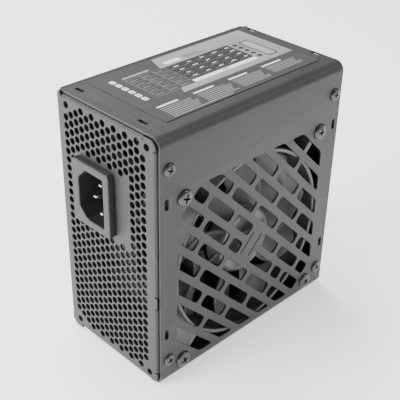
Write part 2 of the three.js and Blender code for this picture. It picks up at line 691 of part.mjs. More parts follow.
function fanRotor() {
  const outer = HUB / 2;
  const inner = outer - HUB_WALL;
  const rear = HUB_FACE + HUB_DEEP;
  const bore = SHAFT / 2 + FIT;
  const floor = HUB_FACE + HUB_WALL;
  const profile = [
    [bore, floor], [bore, HUB_FACE], [outer - HUB_EASE, HUB_FACE], [outer, HUB_FACE + HUB_EASE],
    [outer, rear], [inner, rear], [inner, floor], [bore, floor],
  ];
  const cup = turned(profile, FAN_AXIS, 24);
  const blades = Array.from({ length: BLADES }, (_, i) => blade((i * 360) / BLADES));
  const hollow = rod('y', FAN_AXIS, [floor, rear + SHEET], 2 * inner, 24);
  return cut(joined([cup, ...blades]), [hollow]);
}

const MAGNET_OUTER = HUB - 2 * HUB_WALL - 2 * FIT;
const MAGNET_INNER = MAGNET_OUTER - 2 * MAGNET_WALL;

function magnetRing() {
  const front = HUB_FACE + HUB_WALL + FIT;
  return ring(FAN_AXIS, [front, HUB_FACE + HUB_DEEP - REST], MAGNET_OUTER, MAGNET_INNER, 24);
}

function fanShaft() {
  return rod('y', FAN_AXIS, [HUB_FACE + HUB_WALL / 2, BEARING_FOOT - FIT], SHAFT, 10);
}

function fanBearing() {
  return ring(FAN_AXIS, [BEARING_TOP + REST, BEARING_FOOT - REST], BEARING, SHAFT + 2 * FIT, 16);
}

const STATOR_INNER = BEARING + 2 * TUBE_WALL + 4 * FIT;

function fanStator() {
  const y = [BEARING_TOP + FIT, BEARING_TOP + FIT + STATOR_DEEP];
  const core = ring(FAN_AXIS, y, STATOR_INNER + 2 * STATOR_WALL, STATOR_INNER, 16);
  const reach = [STATOR_INNER / 2 + STATOR_WALL / 2, MAGNET_INNER / 2 - 2 * FIT];
  const arms = Array.from({ length: POLES }, (_, i) => (
    block(reach, y, around(0, POLE_WIDE)).rotate([0, ((i + 0.5) * 360) / POLES, 0]).translate([0, 0, FAN_Z])
  ));
  return joined([core, ...arms]);
}

function fanBoard() {
  const rear = FAN_BACK - MOTOR_PLATE_THICK - REST;
  return ring(FAN_AXIS, [rear - FAN_BOARD, rear], MAGNET_INNER - STATOR_WALL, STATOR_INNER, 20);
}

// ---------------------------------------------------------------- boards and fixings

const BOARD_BACK = BACK - SHEET - REST - BOARD_GAP;
const BOARD_FACE = BOARD_BACK - BOARD;
const BOARD_X = [MAINS + BOARD_AC_GAP, OUTLET - BOARD_DC_GAP];
const BOARD_Z = [BOARD_MARGIN, HEIGHT - BOARD_MARGIN];

function boardScrewPlaces() {
  const xs = [BOARD_X[0] + BOARD_HOLE_INSET, BOARD_X[1] - BOARD_HOLE_INSET];
  const zs = [BOARD_Z[0] + BOARD_HOLE_INSET, BOARD_Z[1] - BOARD_HOLE_INSET];
  return xs.flatMap((x) => zs.map((z) => [x, z]));
}

function mainBoard() {
  const y = [BOARD_FACE, BOARD_BACK];
  const through = [y[0] - SHEET, y[1] + SHEET];
  const holes = boardScrewPlaces().map((p) => rod('y', p, through, BOARD_SCREW.shank + 2 * FIT));
  return cut(block(BOARD_X, y, BOARD_Z), holes);
}

function standoff(place) {
  return ring(place, [BOARD_BACK + REST, BACK - SHEET - REST], STANDOFF, BOARD_SCREW.shank + 2 * FIT, 12);
}

function insulationSheet() {
  const y = [BACK - SHEET - REST - INSULATION, BACK - SHEET - REST];
  const through = [y[0] - SHEET, y[1] + SHEET];
  const holes = boardScrewPlaces().map((p) => rod('y', p, through, STANDOFF + 4 * FIT));
  const x = [BOARD_X[0] - INSULATION_RIM, BOARD_X[1] + INSULATION_RIM];
  return cut(block(x, y, [SILL_BEND + SHEET, HEIGHT - SILL_BEND]), holes);
}

function inletBoard() {
  const x = MAINS - REST - BEZEL_PROUD + INLET_DEEP + INLET_WALL + REST;
  const rim = 2 * INLET_BOARD_RIM;
  const plate = block([x, x + BOARD], around(INLET_Y, INLET_WIDE + rim), around(INLET_Z, INLET_TALL + rim));
  const slots = pinPlaces().map(([y, z]) => block(
    [x - SHEET, x + BOARD + SHEET], around(y, PIN_WIDE + 2 * FIT), around(z, PIN_THICK + 2 * FIT),
  ));
  return cut(plate, slots);
}

// ---------------------------------------------------------------- parts on the main board

// Each part stands on the board's face and rises towards the fan, by a share of the room between them.
const SEAT = BOARD_FACE - REST;
const ROOM = SEAT - FAN_BACK;
const standing = (high) => [SEAT - high * ROOM, SEAT];

// A can with its rim rounded off.
function can([x, z], { high, across, sides }) {
  const [low, foot] = standing(high);
  const [r, ease] = [across / 2, SHEET];
  return turned([[0, low], [r - ease, low], [r, low + ease], [r, foot], [0, foot]], [x, z], sides);
}

// A wound ring core lying on the board.
function toroid({ place, high, outer, inner }) {
  const [near, far] = [inner / 2, outer / 2];
  const [low, foot] = standing(high);
  const ease = WINDING_EASE;
  return turned([
    [near, low + ease], [near + ease, low], [far - ease, low], [far, low + ease],
    [far, foot - ease], [far - ease, foot], [near + ease, foot], [near, foot - ease], [near, low + ease],
  ], place, 16);
}

function boxOnBoard({ place: [x, z], high, wide, tall }) {
  return block(around(x, wide), standing(high), around(z, tall));
}

// A plate across X with fins along Z on one side.
function heatSink({ x, z, high }) {
  const { thick, fins, reach, fin } = HEATSINK;
  const [low, foot] = standing(high);
  const pitch = (foot - low) / fins;
  const blades = Array.from({ length: fins }, (_, i) => (
    block([x + thick - REST, x + thick + reach], [low + i * pitch, low + i * pitch + fin], z)
  ));
  return joined([block([x, x + thick], [low, foot], z), ...blades]);
}

// Two E cores joined: yokes above and below, outer legs at the sides and a middle leg through the winding.
function transformerCore() {
  const { place: [x, z], high, wide, yoke, leg, lift, core } = TRANSFORMER;
  const y = [standing(high)[0], SEAT - lift];
  const window = [y[0] + yoke, y[1] - yoke];
  const gap = (wide - 2 * yoke - leg) / 2;
  const open = around(z, core + 2 * SHEET);
  const holes = [-1, 1].map((side) => block(around(x + side * (leg + gap) / 2, gap), window, open));
  return cut(block(around(x, wide), y, around(z, core)), holes);
}

function transformerWinding() {
  const { place: [x, z], high, wide, tall, yoke, leg, lift, core } = TRANSFORMER;
  const y = [standing(high)[0] + yoke + FIT, SEAT - lift - yoke - FIT];
  const coil = block(around(x, wide - 2 * yoke - 2 * FIT), y, around(z, tall));
  const middle = block(around(x, leg + 2 * FIT), [y[0] - SHEET, y[1] + SHEET], around(z, core + 2 * FIT));
  return cut(coil, [middle]);
}

function fuse({ place: [x, z], lift, long, glass, cap, capLong }) {
  const y = SEAT - lift;
  const tube = rod('x', [y, z], around(x, long), glass, 10);
  const apart = (long - capLong + SHEET) / 2;
  const caps = [-1, 1].map((side) => rod('x', [y, z], around(x + side * apart, capLong), cap, 10));
  return joined([tube, ...caps]);
}

// ---------------------------------------------------------------- sockets

// Rows of cells along Z in two columns, stacked upward from the same height.
function socketPlaces() {
  const columns = [
    [['cpu_socket', 4], ['main_socket', 12]],
    [['drive_socket_1', 3], ['drive_socket_2', 3], ['graphics_socket_1', 4], ['graphics_socket_2', 4]],
  ];
  return columns.flatMap((names, column) => {
    let foot = SOCKET_FOOT_Z;
    return names.map(([name, cells]) => {
      const long = cells * CELL + 2 * SOCKET_RIM;
      const place = { name, long, y: SOCKET_COLUMN_Y[column], z: foot + long / 2 };
      foot += long + SOCKET_GAP;
      return place;
    });
  });
}

const SOCKET_MOUTH = OUTLET + SOCKET_PROUD;
const SOCKET_BACK = SOCKET_MOUTH - SOCKET_DEEP;

function socket({ y, z, long }) {
  const body = block([SOCKET_BACK, SOCKET_MOUTH], around(y, SOCKET_WIDE), around(z, long));
  const cavity = block(
    [SOCKET_BACK + SOCKET_FLOOR, SOCKET_MOUTH + SHEET],
    around(y, SOCKET_WIDE - 2 * SOCKET_RIM),
    around(z, long - 2 * SOCKET_RIM),
  );
  return body.subtract(cavity);
}

function socketBoard() {
  const x = [SOCKET_BACK - REST - BOARD, SOCKET_BACK - REST];
  const y = [SOCKET_COLUMN_Y[1] - SOCKET_BOARD_RIM, BOARD_FACE - SHEET];
  return block(x, y, [SOCKET_BOARD_Z[0], HEIGHT - SOCKET_BOARD_Z[1]]);
}

// ---------------------------------------------------------------- leads

// From the back of a pin over the inlet's board and down to the main board.
function mainsLead([y, z], [footX, footZ]) {
  const x = MAINS - BEZEL_PROUD + PIN_SINK + PIN_LONG + FIT;
  return tube([
    [x, y, z], [x + LEAD, y, z], [x + 2 * LEAD, y + LEAD, z],
    [footX, SEAT - 3 * LEAD, footZ], [footX, SEAT - LEAD, footZ], [footX, SEAT, footZ],
  ], LEAD, 8, 16);
}

// From the fan's back over its upper rim and down to the main board.
function fanLead() {
  const x = FAN_RING / 2 - 4 * LEAD;
  const [y, top] = [FAN_BACK + FIT + LEAD / 2, FAN_Z + FAN_RING / 2];
  return tube([
    [x, y, top - 10 * LEAD], [x, y, top - 6 * LEAD], [x - LEAD, y + LEAD / 2, top - LEAD],
    [x - 2 * LEAD, FAN_BACK + ROOM / 3, top + 3 * LEAD],
    [x - 2 * LEAD, SEAT - 3 * LEAD, top + 4 * LEAD], [x - 2 * LEAD, SEAT, top + 4 * LEAD],
  ], LEAD, 8, 18);
}

// ---------------------------------------------------------------- assembly

piece('base_shell', baseShell(), 'case');
piece('cover_shell', coverShell(), 'case');
piece('rating_label', label(), 'label');
coverScrewPlaces().forEach((p, i) => piece(`cover_screw_${i + 1}`, screw(COVER_SCREW, p, FRONT), 'screw'));
fanScrewPlaces().forEach((p, i) => piece(`fan_screw_${i + 1}`, screw(FAN_SCREW, p, FRONT), 'screw'));

piece('fan_frame', fanFrame(), 'plastic');
piece('fan_rotor', fanRotor(), 'blade');
piece('magnet_ring', magnetRing(), 'ferrite');
piece('fan_shaft', fanShaft(), 'steel');
piece('fan_bearing', fanBearing(), 'brass');
piece('fan_stator', fanStator(), 'copper');
piece('fan_board', fanBoard(), 'board');
piece('fan_lead', fanLead(), 'plastic');

piece('inlet_body', inletBody(), 'plastic');
['live', 'neutral', 'earth'].forEach((name, i) => {
  piece(`inlet_pin_${name}`, inletPin(pinPlaces()[i]), 'steel');
});
piece('inlet_board', inletBoard(), 'board');

piece('insulation_sheet', insulationSheet(), 'film');
piece('main_board', mainBoard(), 'board');
boardScrewPlaces().forEach((p, i) => {
  piece(`board_standoff_${i + 1}`, standoff(p), 'brass');
  piece(`board_screw_${i + 1}`, screw(BOARD_SCREW, p, BOARD_FACE), 'steel');
});

['live', 'neutral'].forEach((name, i) => {
  piece(`lead_${name}`, mainsLead(pinPlaces()[i], LEAD_FEET[i]), 'wire');
});
piece('emi_choke', toroid(EMI_CHOKE), 'copper');
piece('x_capacitor', boxOnBoard(X_CAPACITOR), 'yellow');
piece('fuse', fuse(FUSE), 'steel');
piece('bridge_rectifier', boxOnBoard(BRIDGE_RECTIFIER), 'ferrite');
piece('bulk_capacitor', can(BULK_CAPACITOR.place, BULK_CAPACITOR), 'sleeve');
piece('pfc_choke', toroid(PFC_CHOKE), 'copper');
piece('primary_heatsink', heatSink(PRIMARY_HEATSINK), 'aluminium');
piece('transformer_core', transformerCore(), 'ferrite');
piece('transformer_winding', transformerWinding(), 'yellow');
piece('standby_transformer', boxOnBoard(STANDBY_TRANSFORMER), 'ferrite');
piece('secondary_heatsink', heatSink(SECONDARY_HEATSINK), 'aluminium');
piece('output_inductor', toroid(OUTPUT_INDUCTOR), 'copper');
OUTPUT_CAPACITOR.places.forEach((p, i) => {
  piece(`output_capacitor_${i + 1}`, can(p, OUTPUT_CAPACITOR), 'sleeve');
});

piece('socket_board', socketBoard(), 'board');
socketPlaces().forEach((place) => piece(place.name, socket(place), 'plastic'));

export default group;
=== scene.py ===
# A power supply unit in the small-form-factor section: a folded steel case with a fan behind a stamped
# grille, a mains inlet, a rating label on the top wall and a panel of cable sockets.
# Shapes are modelled in millimetres and made metres when they become objects.
import math

import bmesh
import bpy
from mathutils import Matrix, Vector


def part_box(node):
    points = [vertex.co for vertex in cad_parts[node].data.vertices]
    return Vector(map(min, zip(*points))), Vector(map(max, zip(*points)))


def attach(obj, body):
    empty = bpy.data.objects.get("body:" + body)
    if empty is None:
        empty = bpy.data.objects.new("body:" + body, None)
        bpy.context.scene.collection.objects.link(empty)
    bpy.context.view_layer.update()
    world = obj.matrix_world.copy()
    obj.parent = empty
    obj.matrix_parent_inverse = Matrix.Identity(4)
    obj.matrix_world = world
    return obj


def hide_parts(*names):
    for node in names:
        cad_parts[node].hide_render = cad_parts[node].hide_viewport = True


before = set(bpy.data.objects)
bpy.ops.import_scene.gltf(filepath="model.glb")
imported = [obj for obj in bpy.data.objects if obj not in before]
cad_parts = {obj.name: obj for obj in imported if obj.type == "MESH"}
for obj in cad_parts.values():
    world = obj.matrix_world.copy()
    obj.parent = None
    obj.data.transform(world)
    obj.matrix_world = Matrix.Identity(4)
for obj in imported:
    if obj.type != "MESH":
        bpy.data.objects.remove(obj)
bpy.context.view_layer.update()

# ---------------------------------------------------------------- camera
# A long lens looks down on the case's upper left edge from about 400 mm away.
camera = bpy.data.objects.new("camera", bpy.data.cameras.new("camera"))
bpy.context.scene.collection.objects.link(camera)
bpy.context.scene.camera = camera
camera.location = (-0.2413, -0.23782, 0.27135)
camera.rotation_euler = [math.radians(angle) for angle in (58.045, -1.04, -44.228)]
camera.data.lens = 75.5
camera.data.shift_x = 0.0076
camera.data.shift_y = 0.002

# ---------------------------------------------------------------- base shell
# The back wall and the two end panels are one sheet of 1 mm steel. It is punched flat, its tabs are
# folded in first, then the sill along the bottom, then the end panels, and it is powder-coated.
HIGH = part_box("base_shell")[1] * 1000
BACK, OUTLET, HEIGHT = HIGH.y, HIGH.x, HIGH.z
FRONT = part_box("cover_shell")[0].y * 1000
SHEET, FIT = 1.0, 0.3
LEDGE = SHEET + FIT
EDGE = 0.15
PANEL_BEND, SILL_BEND, SILL = 1.2, 5.0, 7.5
TAB = 9.0
NOTCH = 0.5
CORNER_INSET = 0.6
RELIEF = 7.5
NEAR_TABS = [(7, 43), (50, HEIGHT - 6)]
TOP_TAB, BOTTOM_TAB = (FRONT + 8.75, BACK - 3.75), (FRONT + 5.75, BACK - 8.75)
SLOT_WIDE, SLOT_LONG = 2.0, 5.0
SIDE_SLOT_INSET, SIDE_SLOTS = 4.7, (28.1, HEIGHT - 30.1)
TOP_SLOT_INSETS, TOP_SLOTS = {-1: 6.8, 1: 2.5}, (FRONT + 15.6, BACK - 7.8)
QUARTER = math.pi / 2


def arc(centre, radius, start, stop, steps):
    """Points round part of a circle, between two angles in degrees."""
    turns = [math.radians(start + (stop - start) * i / steps) for i in range(steps + 1)]
    return [(centre[0] + radius * math.cos(t), centre[1] + radius * math.sin(t)) for t in turns]


def blank(loops, thickness, edge, steps=1):
    """A flat sheet between an outline and its holes, with its thickness along Z and its edges rounded."""
    drawing = bpy.data.curves.new("blank", "CURVE")
    drawing.dimensions, drawing.fill_mode = "2D", "BOTH"
    drawing.extrude, drawing.bevel_depth = thickness / 2 - edge, edge
    drawing.bevel_resolution, drawing.offset = steps, -edge
    for loop in loops:
        spline = drawing.splines.new("POLY")
        spline.points.add(len(loop) - 1)
        for point, (u, v) in zip(spline.points, loop):
            point.co = (u, v, 0, 1)
        spline.use_cyclic_u = True
    holder = bpy.data.objects.new("blank", drawing)
    bpy.context.scene.collection.objects.link(holder)
    graph = bpy.context.evaluated_depsgraph_get()
    flat = bpy.data.meshes.new_from_object(holder.evaluated_get(graph))
    bpy.data.objects.remove(holder)
    sheet = bmesh.new()
    sheet.from_mesh(flat)
    bpy.data.meshes.remove(flat)
    bmesh.ops.remove_doubles(sheet, verts=sheet.verts, dist=1e-4)
    return sheet


# A blank drawn in x and z stands up in a plane across Y.
UPRIGHT = Matrix.Rotation(QUARTER, 4, "X")


def stand(sheet, middle_y):
    """Turns a blank upright, with the middle of its thickness at that y."""
    bmesh.ops.transform(sheet, matrix=Matrix.Translation((0, middle_y, 0)) @ UPRIGHT, verts=sheet.verts)


def fold(sheet, start, along, up, radius, cuts, holds=lambda co: True, stiff=lambda co: False):
    """Bends what lies past a line through 90 degrees. up points out of the face on the bend's outside."""
    start, along, up = Vector(start), Vector(along), Vector(up)
    length = radius * QUARTER
    for i in range(cuts + 1):
        line = start + along * (length * i / cuts)
        parts = sheet.verts[:] + sheet.edges[:] + sheet.faces[:]
        bmesh.ops.bisect_plane(sheet, geom=parts, dist=1e-4, plane_co=line, plane_no=along)
    for vert in sheet.verts:
        far = (vert.co - start).dot(along)
        if far <= 1e-4 or not holds(vert.co):
            continue
        proud = (vert.co - start).dot(up)
        turn = far / radius if far < length and not stiff(vert.co) else QUARTER
        rest = far - length if turn == QUARTER else 0
        out = (radius + proud) * math.sin(turn)
        rise = (radius + proud) * math.cos(turn) - radius - rest
        vert.co += along * (out - far) + up * (rise - proud)


def spread(y):
    """How far a point of an end panel lies from the middle of the flat blank."""
    return OUTLET - PANEL_BEND + PANEL_BEND * QUARTER + (BACK - PANEL_BEND - y)


def notched(limits, edge_at, base_at, tip_at, corner=1.5):
    """A tab between two limits: relief notches at its ends, far corners cut. Pairs are (along, out)."""
    low, high = limits
    shoulder = tip_at - math.copysign(corner, tip_at - base_at)
    return [
        (low - NOTCH, edge_at), (low - NOTCH, base_at), (low, base_at), (low, shoulder),
        (low + corner, tip_at), (high - corner, tip_at),
        (high, shoulder), (high, base_at), (high + NOTCH, base_at), (high + NOTCH, edge_at),
    ]


def panel_outline():
    """Half of the blank as (distance from the middle, z), from the middle of the sill to the top."""
    near, low, high = FRONT + LEDGE, LEDGE, HEIGHT - LEDGE
    side = SILL_BEND * QUARTER
    wall_end = OUTLET - SHEET - CORNER_INSET
    inset = BACK - CORNER_INSET
    flat = TAB - PANEL_BEND
    deep = PANEL_BEND + 0.2
    tip = PANEL_BEND * QUARTER + flat
    round_in = 3.2
    sweep = math.degrees(math.acos((SILL_BEND - CORNER_INSET) / SILL_BEND))
    panel = arc((BACK - SILL_BEND, SILL_BEND), SILL_BEND, -sweep, -90, 6)
    panel += [(BACK - SILL, 0), (BACK - SILL, low)]
    bottom = notched(BOTTOM_TAB, low, low + deep, low + PANEL_BEND - tip)
    panel += bottom[::-1]
    panel += arc((near + round_in, low + round_in), round_in, -90, -180, 5)
    for limits in NEAR_TABS:
        tab = notched(limits, near, near + deep, near + PANEL_BEND - tip)
        panel += [(y, z) for z, y in tab]
    panel += arc((near + round_in, high - round_in), round_in, 180, 90, 5)
    panel += notched(TOP_TAB, high, high - deep, high - PANEL_BEND + tip)
    panel += [(BACK - 2 * LEDGE, high), (BACK - 2 * LEDGE, HEIGHT)]
    panel += arc((inset - 1.8, HEIGHT - 1.8), 1.8, 90, 0, 5)
    foot = SILL_BEND - side - (SILL - SILL_BEND)
    start = [(wall_end - 1, foot), (wall_end, foot + 1), (wall_end, RELIEF), (spread(inset), RELIEF)]
    top = HEIGHT - RELIEF
    end = [(spread(inset), top), (wall_end, top), (wall_end, HEIGHT - 1), (wall_end - 1, HEIGHT)]
    return start + [(spread(y), z) for y, z in panel] + end


VENT, VENT_PITCH, VENT_COLUMN = 3.2, 4.07, 3.48
VENT_COLUMNS, VENT_ROWS = 7, 14
VENT_MIDDLE = (1.35, 63.2)
CHASSIS_EDGE, CHASSIS_BORE, CHASSIS_LAND = (6.4, 5.2), 3.2, 4.8
COLLAR, COLLAR_DEEP = 4.8, 1.6
INLET = (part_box("inlet_body")[0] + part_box("inlet_body")[1]) * 500
INLET_WIDE, INLET_TALL, INLET_CHAMFER, INLET_WALL = 16.4, 24.0, 5.0, 1.6
INLET_LAND = (-14.15, 20.55, 18)


def circle(centre, across, sides=16):
    return arc(centre, across / 2, 0, 360 * (1 - 1 / sides), sides - 1)


def eased(corners, radius, steps=4):
    """An outline with its corners rounded off."""
    points = []
    for i, here in enumerate(corners):
        here = Vector(here)
        before, after = Vector(corners[i - 1]), Vector(corners[(i + 1) % len(corners)])
        reach = min(radius, (before - here).length / 2.2, (after - here).length / 2.2)
        a = here + (before - here).normalized() * reach
        b = here + (after - here).normalized() * reach
        for step in range(steps + 1):
            t = step / steps
            points.append(tuple(a * (1 - t) ** 2 + here * 2 * t * (1 - t) + b * t ** 2))
    return points


def rectangle(middle, wide, tall):
    (a, b), w, t = middle, wide / 2, tall / 2
    return [(a - w, b - t), (a + w, b - t), (a + w, b + t), (a - w, b + t)]


def chassis_holes():
    aside, up = CHASSIS_EDGE
    return [(y, z) for y in (FRONT + aside, BACK - aside) for z in (up, HEIGHT - up)]


def vents():
    """Staggered columns of round holes, left out round the chassis holes and the inlet."""
    found = []
    for column in range(-VENT_COLUMNS, VENT_COLUMNS + 1):
        half = (column % 2) / 2
        for row in range(-VENT_ROWS, VENT_ROWS + 1 - int(2 * half)):
            y = VENT_MIDDLE[0] - column * VENT_COLUMN
            z = VENT_MIDDLE[1] + (row + half) * VENT_PITCH
            clear = all(math.hypot(y - a, z - b) > CHASSIS_LAND for a, b in chassis_holes())
            low, high, tall = INLET_LAND
            if clear and not (low < y < high and abs(z - INLET.z) < tall):
                found.append((y, z))
    return found


def inlet_outline(grow):
    """The inlet's opening in y and z: a rectangle with two of its corners cut off."""
    w, t, c = INLET_WIDE / 2 + grow, INLET_TALL / 2 + grow, INLET_CHAMFER
    return [
        (INLET.y - w, INLET.z - t), (INLET.y + w - c, INLET.z - t), (INLET.y + w, INLET.z - t + c),
        (INLET.y + w, INLET.z + t - c), (INLET.y + w - c, INLET.z + t), (INLET.y - w, INLET.z + t),
    ]


def box_outline(low, high, axes):
    """A rectangle round a box, on two of its axes."""
    a, b = axes
    return [(low[a], low[b]), (high[a], low[b]), (high[a], high[b]), (low[a], high[b])]


def socket_names():
    return sorted(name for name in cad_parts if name.endswith("_socket") or "_socket_" in name)


COVER_SCREWS = [f"cover_screw_{i}" for i in range(1, 5)]
FAN_SCREWS = [f"fan_screw_{i}" for i in range(1, 5)]


def middle_of(name):
    low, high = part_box(name)
    return (low + high) * 500


def slot_loop(middle, wide, tall):
    return eased(rectangle(middle, wide, tall), 0.5, 3)


def tab_slots():
    """The slots in the tabs, under those in the cover, on the flat blank."""
    bend = PANEL_BEND * QUARTER - PANEL_BEND
    found = []
    for side in (-1, 1):
        along = side * (spread(FRONT + LEDGE + PANEL_BEND) + bend + SIDE_SLOT_INSET)
        found += [slot_loop((along, z), SLOT_WIDE, SLOT_LONG) for z in SIDE_SLOTS]
        up = HEIGHT - LEDGE - PANEL_BEND + bend + TOP_SLOT_INSETS[side]
        found += [slot_loop((side * spread(y), up), SLOT_LONG, SLOT_WIDE) for y in TOP_SLOTS]
    return found


def base_blank():
    half = panel_outline()
    outline = half + [(-u, z) for u, z in reversed(half)]
    loops = [outline, *tab_slots()]
    mains = [circle(centre, VENT) for centre in vents()]
    mains += [circle(centre, CHASSIS_BORE, 24) for centre in chassis_holes()]
    mains.append(inlet_outline(INLET_WALL + FIT))
    loops += [[(-spread(y), z) for y, z in loop] for loop in mains]
    for name in socket_names():
        low, high = (corner * 1000 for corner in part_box(name))
        grown = box_outline(low - Vector((0, FIT, FIT)), high + Vector((0, FIT, FIT)), (1, 2))
        loops.append([(spread(y), z) for y, z in grown])
    return loops


def smooth_shaded(bm, sharp=35):
    for face in bm.faces:
        face.smooth = True
    for edge in bm.edges:
        edge.smooth = edge.calc_face_angle(0) < math.radians(sharp)


def made(name, bm, finishes, body="housing", stands_for=(), sharp=35):
    """A finished piece: millimetres become metres, and it rides on its body."""
    smooth_shaded(bm, sharp)
    bmesh.ops.scale(bm, vec=(0.001, 0.001, 0.001), verts=bm.verts)
    mesh = bpy.data.meshes.new(name)
    bm.to_mesh(mesh)
    bm.free()
    piece = bpy.data.objects.new(name, mesh)
    bpy.context.scene.collection.objects.link(piece)
    for finish in finishes:
        mesh.materials.append(finish)
    piece.modifiers.new("even_normals", "WEIGHTED_NORMAL").keep_sharp = True
    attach(piece, body)
    if stands_for:
        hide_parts(*stands_for)
    return piece


def finish(name, colour, roughness, metallic=0.0, grain=0.0005, depth=0.00002, mottle=0.12, **sockets):
    """A surface with a fine relief, a slow change of shade and of gloss, and paler edges: partly wear, partly
    a painted highlight.
    """
    surface = bpy.data.materials.new(name)
    surface.use_nodes = True
    nodes, links = surface.node_tree.nodes, surface.node_tree.links
    shader = nodes["Principled BSDF"]
    shader.inputs["Metallic"].default_value = metallic
    for socket, value in sockets.items():
        shader.inputs[socket.replace("_", " ").title().replace("Ior", "IOR")].default_value = value
    place = nodes.new("ShaderNodeTexCoord")
    fine, slow = nodes.new("ShaderNodeTexNoise"), nodes.new("ShaderNodeTexNoise")
    fine.inputs["Scale"].default_value = 1 / grain
    fine.inputs["Detail"].default_value = 4
    slow.inputs["Scale"].default_value = 60
    slow.inputs["Detail"].default_value = 5
    for noise in (fine, slow):
        links.new(place.outputs["Object"], noise.inputs["Vector"])
    relief = nodes.new("ShaderNodeBump")
    relief.inputs["Strength"].default_value = 0.6
    relief.inputs["Distance"].default_value = depth
    links.new(fine.outputs["Fac"], relief.inputs["Height"])
    links.new(relief.outputs["Normal"], shader.inputs["Normal"])
    shade = nodes.new("ShaderNodeValToRGB")
    shade.color_ramp.elements[0].position, shade.color_ramp.elements[1].position = 0.25, 0.75
    shade.color_ramp.elements[0].color = (*[c * (1 - mottle) for c in colour], 1)
    shade.color_ramp.elements[1].color = (*[c * (1 + mottle) for c in colour], 1)
    links.new(slow.outputs["Fac"], shade.inputs["Fac"])
    # Pointiness makes convex edges paler on every finish: partly wear, partly a painted highlight along bends
    # and cut edges.
    edge_wear_and_highlight = nodes.new("ShaderNodeValToRGB")
    edge_wear_and_highlight.color_ramp.elements[0].position, edge_wear_and_highlight.color_ramp.elements[1].position = 0.51, 0.6
    edge_wear_and_highlight.color_ramp.elements[1].color = (0.35, 0.35, 0.35, 1)
    shape = nodes.new("ShaderNodeNewGeometry")
    links.new(shape.outputs["Pointiness"], edge_wear_and_highlight.inputs["Fac"])
    edges = nodes.new("ShaderNodeMix")
    edges.data_type = "RGBA"
    edges.inputs["B"].default_value = (*[min(1, c * 1.6 + 0.02) for c in colour], 1)
    links.new(edge_wear_and_highlight.outputs["Color"], edges.inputs["Factor"])
    links.new(shade.outputs["Color"], edges.inputs["A"])
    links.new(edges.outputs["Result"], shader.inputs["Base Color"])
    gloss = nodes.new("ShaderNodeMapRange")
    gloss.inputs["To Min"].default_value = roughness * 0.85
    gloss.inputs["To Max"].default_value = roughness * 1.15
    links.new(slow.outputs["Fac"], gloss.inputs["Value"])
    links.new(gloss.outputs["Result"], shader.inputs["Roughness"])
    return surface


def turned(profile, steps=48, ring=False):
    """A closed shape spun about the Y axis from (radius, y) points."""
    bm = bmesh.new()
    verts = [bm.verts.new((r, y, 0)) for r, y in profile]
    edges = [bm.edges.new(pair) for pair in zip(verts, verts[1:])]
    if ring:
        edges.append(bm.edges.new((verts[-1], verts[0])))
    bmesh.ops.spin(bm, geom=verts + edges, cent=(0, 0, 0), axis=(0, 1, 0), dvec=(0, 0, 0),
                   angle=2 * math.pi, steps=steps, use_merge=True)
    bmesh.ops.remove_doubles(bm, verts=bm.verts, dist=1e-4)
    bmesh.ops.recalc_face_normals(bm, faces=bm.faces)
    return bm


def placed(bm, middle):
    bmesh.ops.translate(bm, vec=middle, verts=bm.verts)
    return bm


def add(bm, other, tint=0):
    """Puts another mesh into this one, in the finish with that number."""
    for face in other.faces:
        face.material_index = tint
    carried = bpy.data.meshes.new("carried")
    other.to_mesh(carried)
    other.free()
    bm.from_mesh(carried)
    bpy.data.meshes.remove(carried)


CHARCOAL_PAINT = finish("charcoal_powder_coat", (0.025, 0.025, 0.026), 0.42, grain=0.0007, depth=0.0004,
                        mottle=0.12, specular_ior_level=0.4)
QUARTER_TURN = Matrix.Rotation(QUARTER, 3, "Z")


def collar(y, z):
    """The tapped collar drawn inwards round a hole of the mains panel."""
    inner, outer = CHASSIS_BORE / 2, COLLAR / 2
    start, stop = SHEET - EDGE, SHEET + COLLAR_DEEP
    profile = [(inner, start), (outer, start), (outer, stop - EDGE), (outer - EDGE, stop), (inner, stop)]
    ring = turned(profile, 24, ring=True)
    bmesh.ops.rotate(ring, cent=(0, 0, 0), matrix=QUARTER_TURN.inverted(), verts=ring.verts)
    return placed(ring, (-OUTLET, y, z))


base = blank(base_blank(), SHEET, EDGE)
stand(base, BACK - SHEET / 2)
OUT = (0, 1, 0)
near_line = spread(FRONT + LEDGE + PANEL_BEND)
for side in (-1, 1):
    fold(base, (side * near_line, BACK, 0), (side, 0, 0), OUT, PANEL_BEND, 3,
         holds=lambda co: any(low - 0.4 < co.z < high + 0.4 for low, high in NEAR_TABS))
top_fold, bottom_fold = HEIGHT - LEDGE - PANEL_BEND, LEDGE + PANEL_BEND
for line, way, (low, high) in ((top_fold, 1, TOP_TAB), (bottom_fold, -1, BOTTOM_TAB)):
    fold(base, (0, BACK, line), (0, 0, way), OUT, PANEL_BEND, 3,
         holds=lambda co: spread(high + 0.4) < abs(co.x) < spread(low - 0.4))
fold(base, (0, BACK, SILL_BEND), (0, 0, -1), OUT, SILL_BEND, 6, holds=lambda co: abs(co.x) < OUTLET - SHEET)
for side in (-1, 1):
    fold(base, (side * (OUTLET - PANEL_BEND), BACK, 0), (side, 0, 0), OUT, PANEL_BEND, 4,
         stiff=lambda co: not RELIEF - 0.05 < co.z < HEIGHT - RELIEF + 0.05)
for hole in chassis_holes():
    add(base, collar(*hole))
made("base_shell_sheet", base, [CHARCOAL_PAINT], stands_for=["base_shell"])

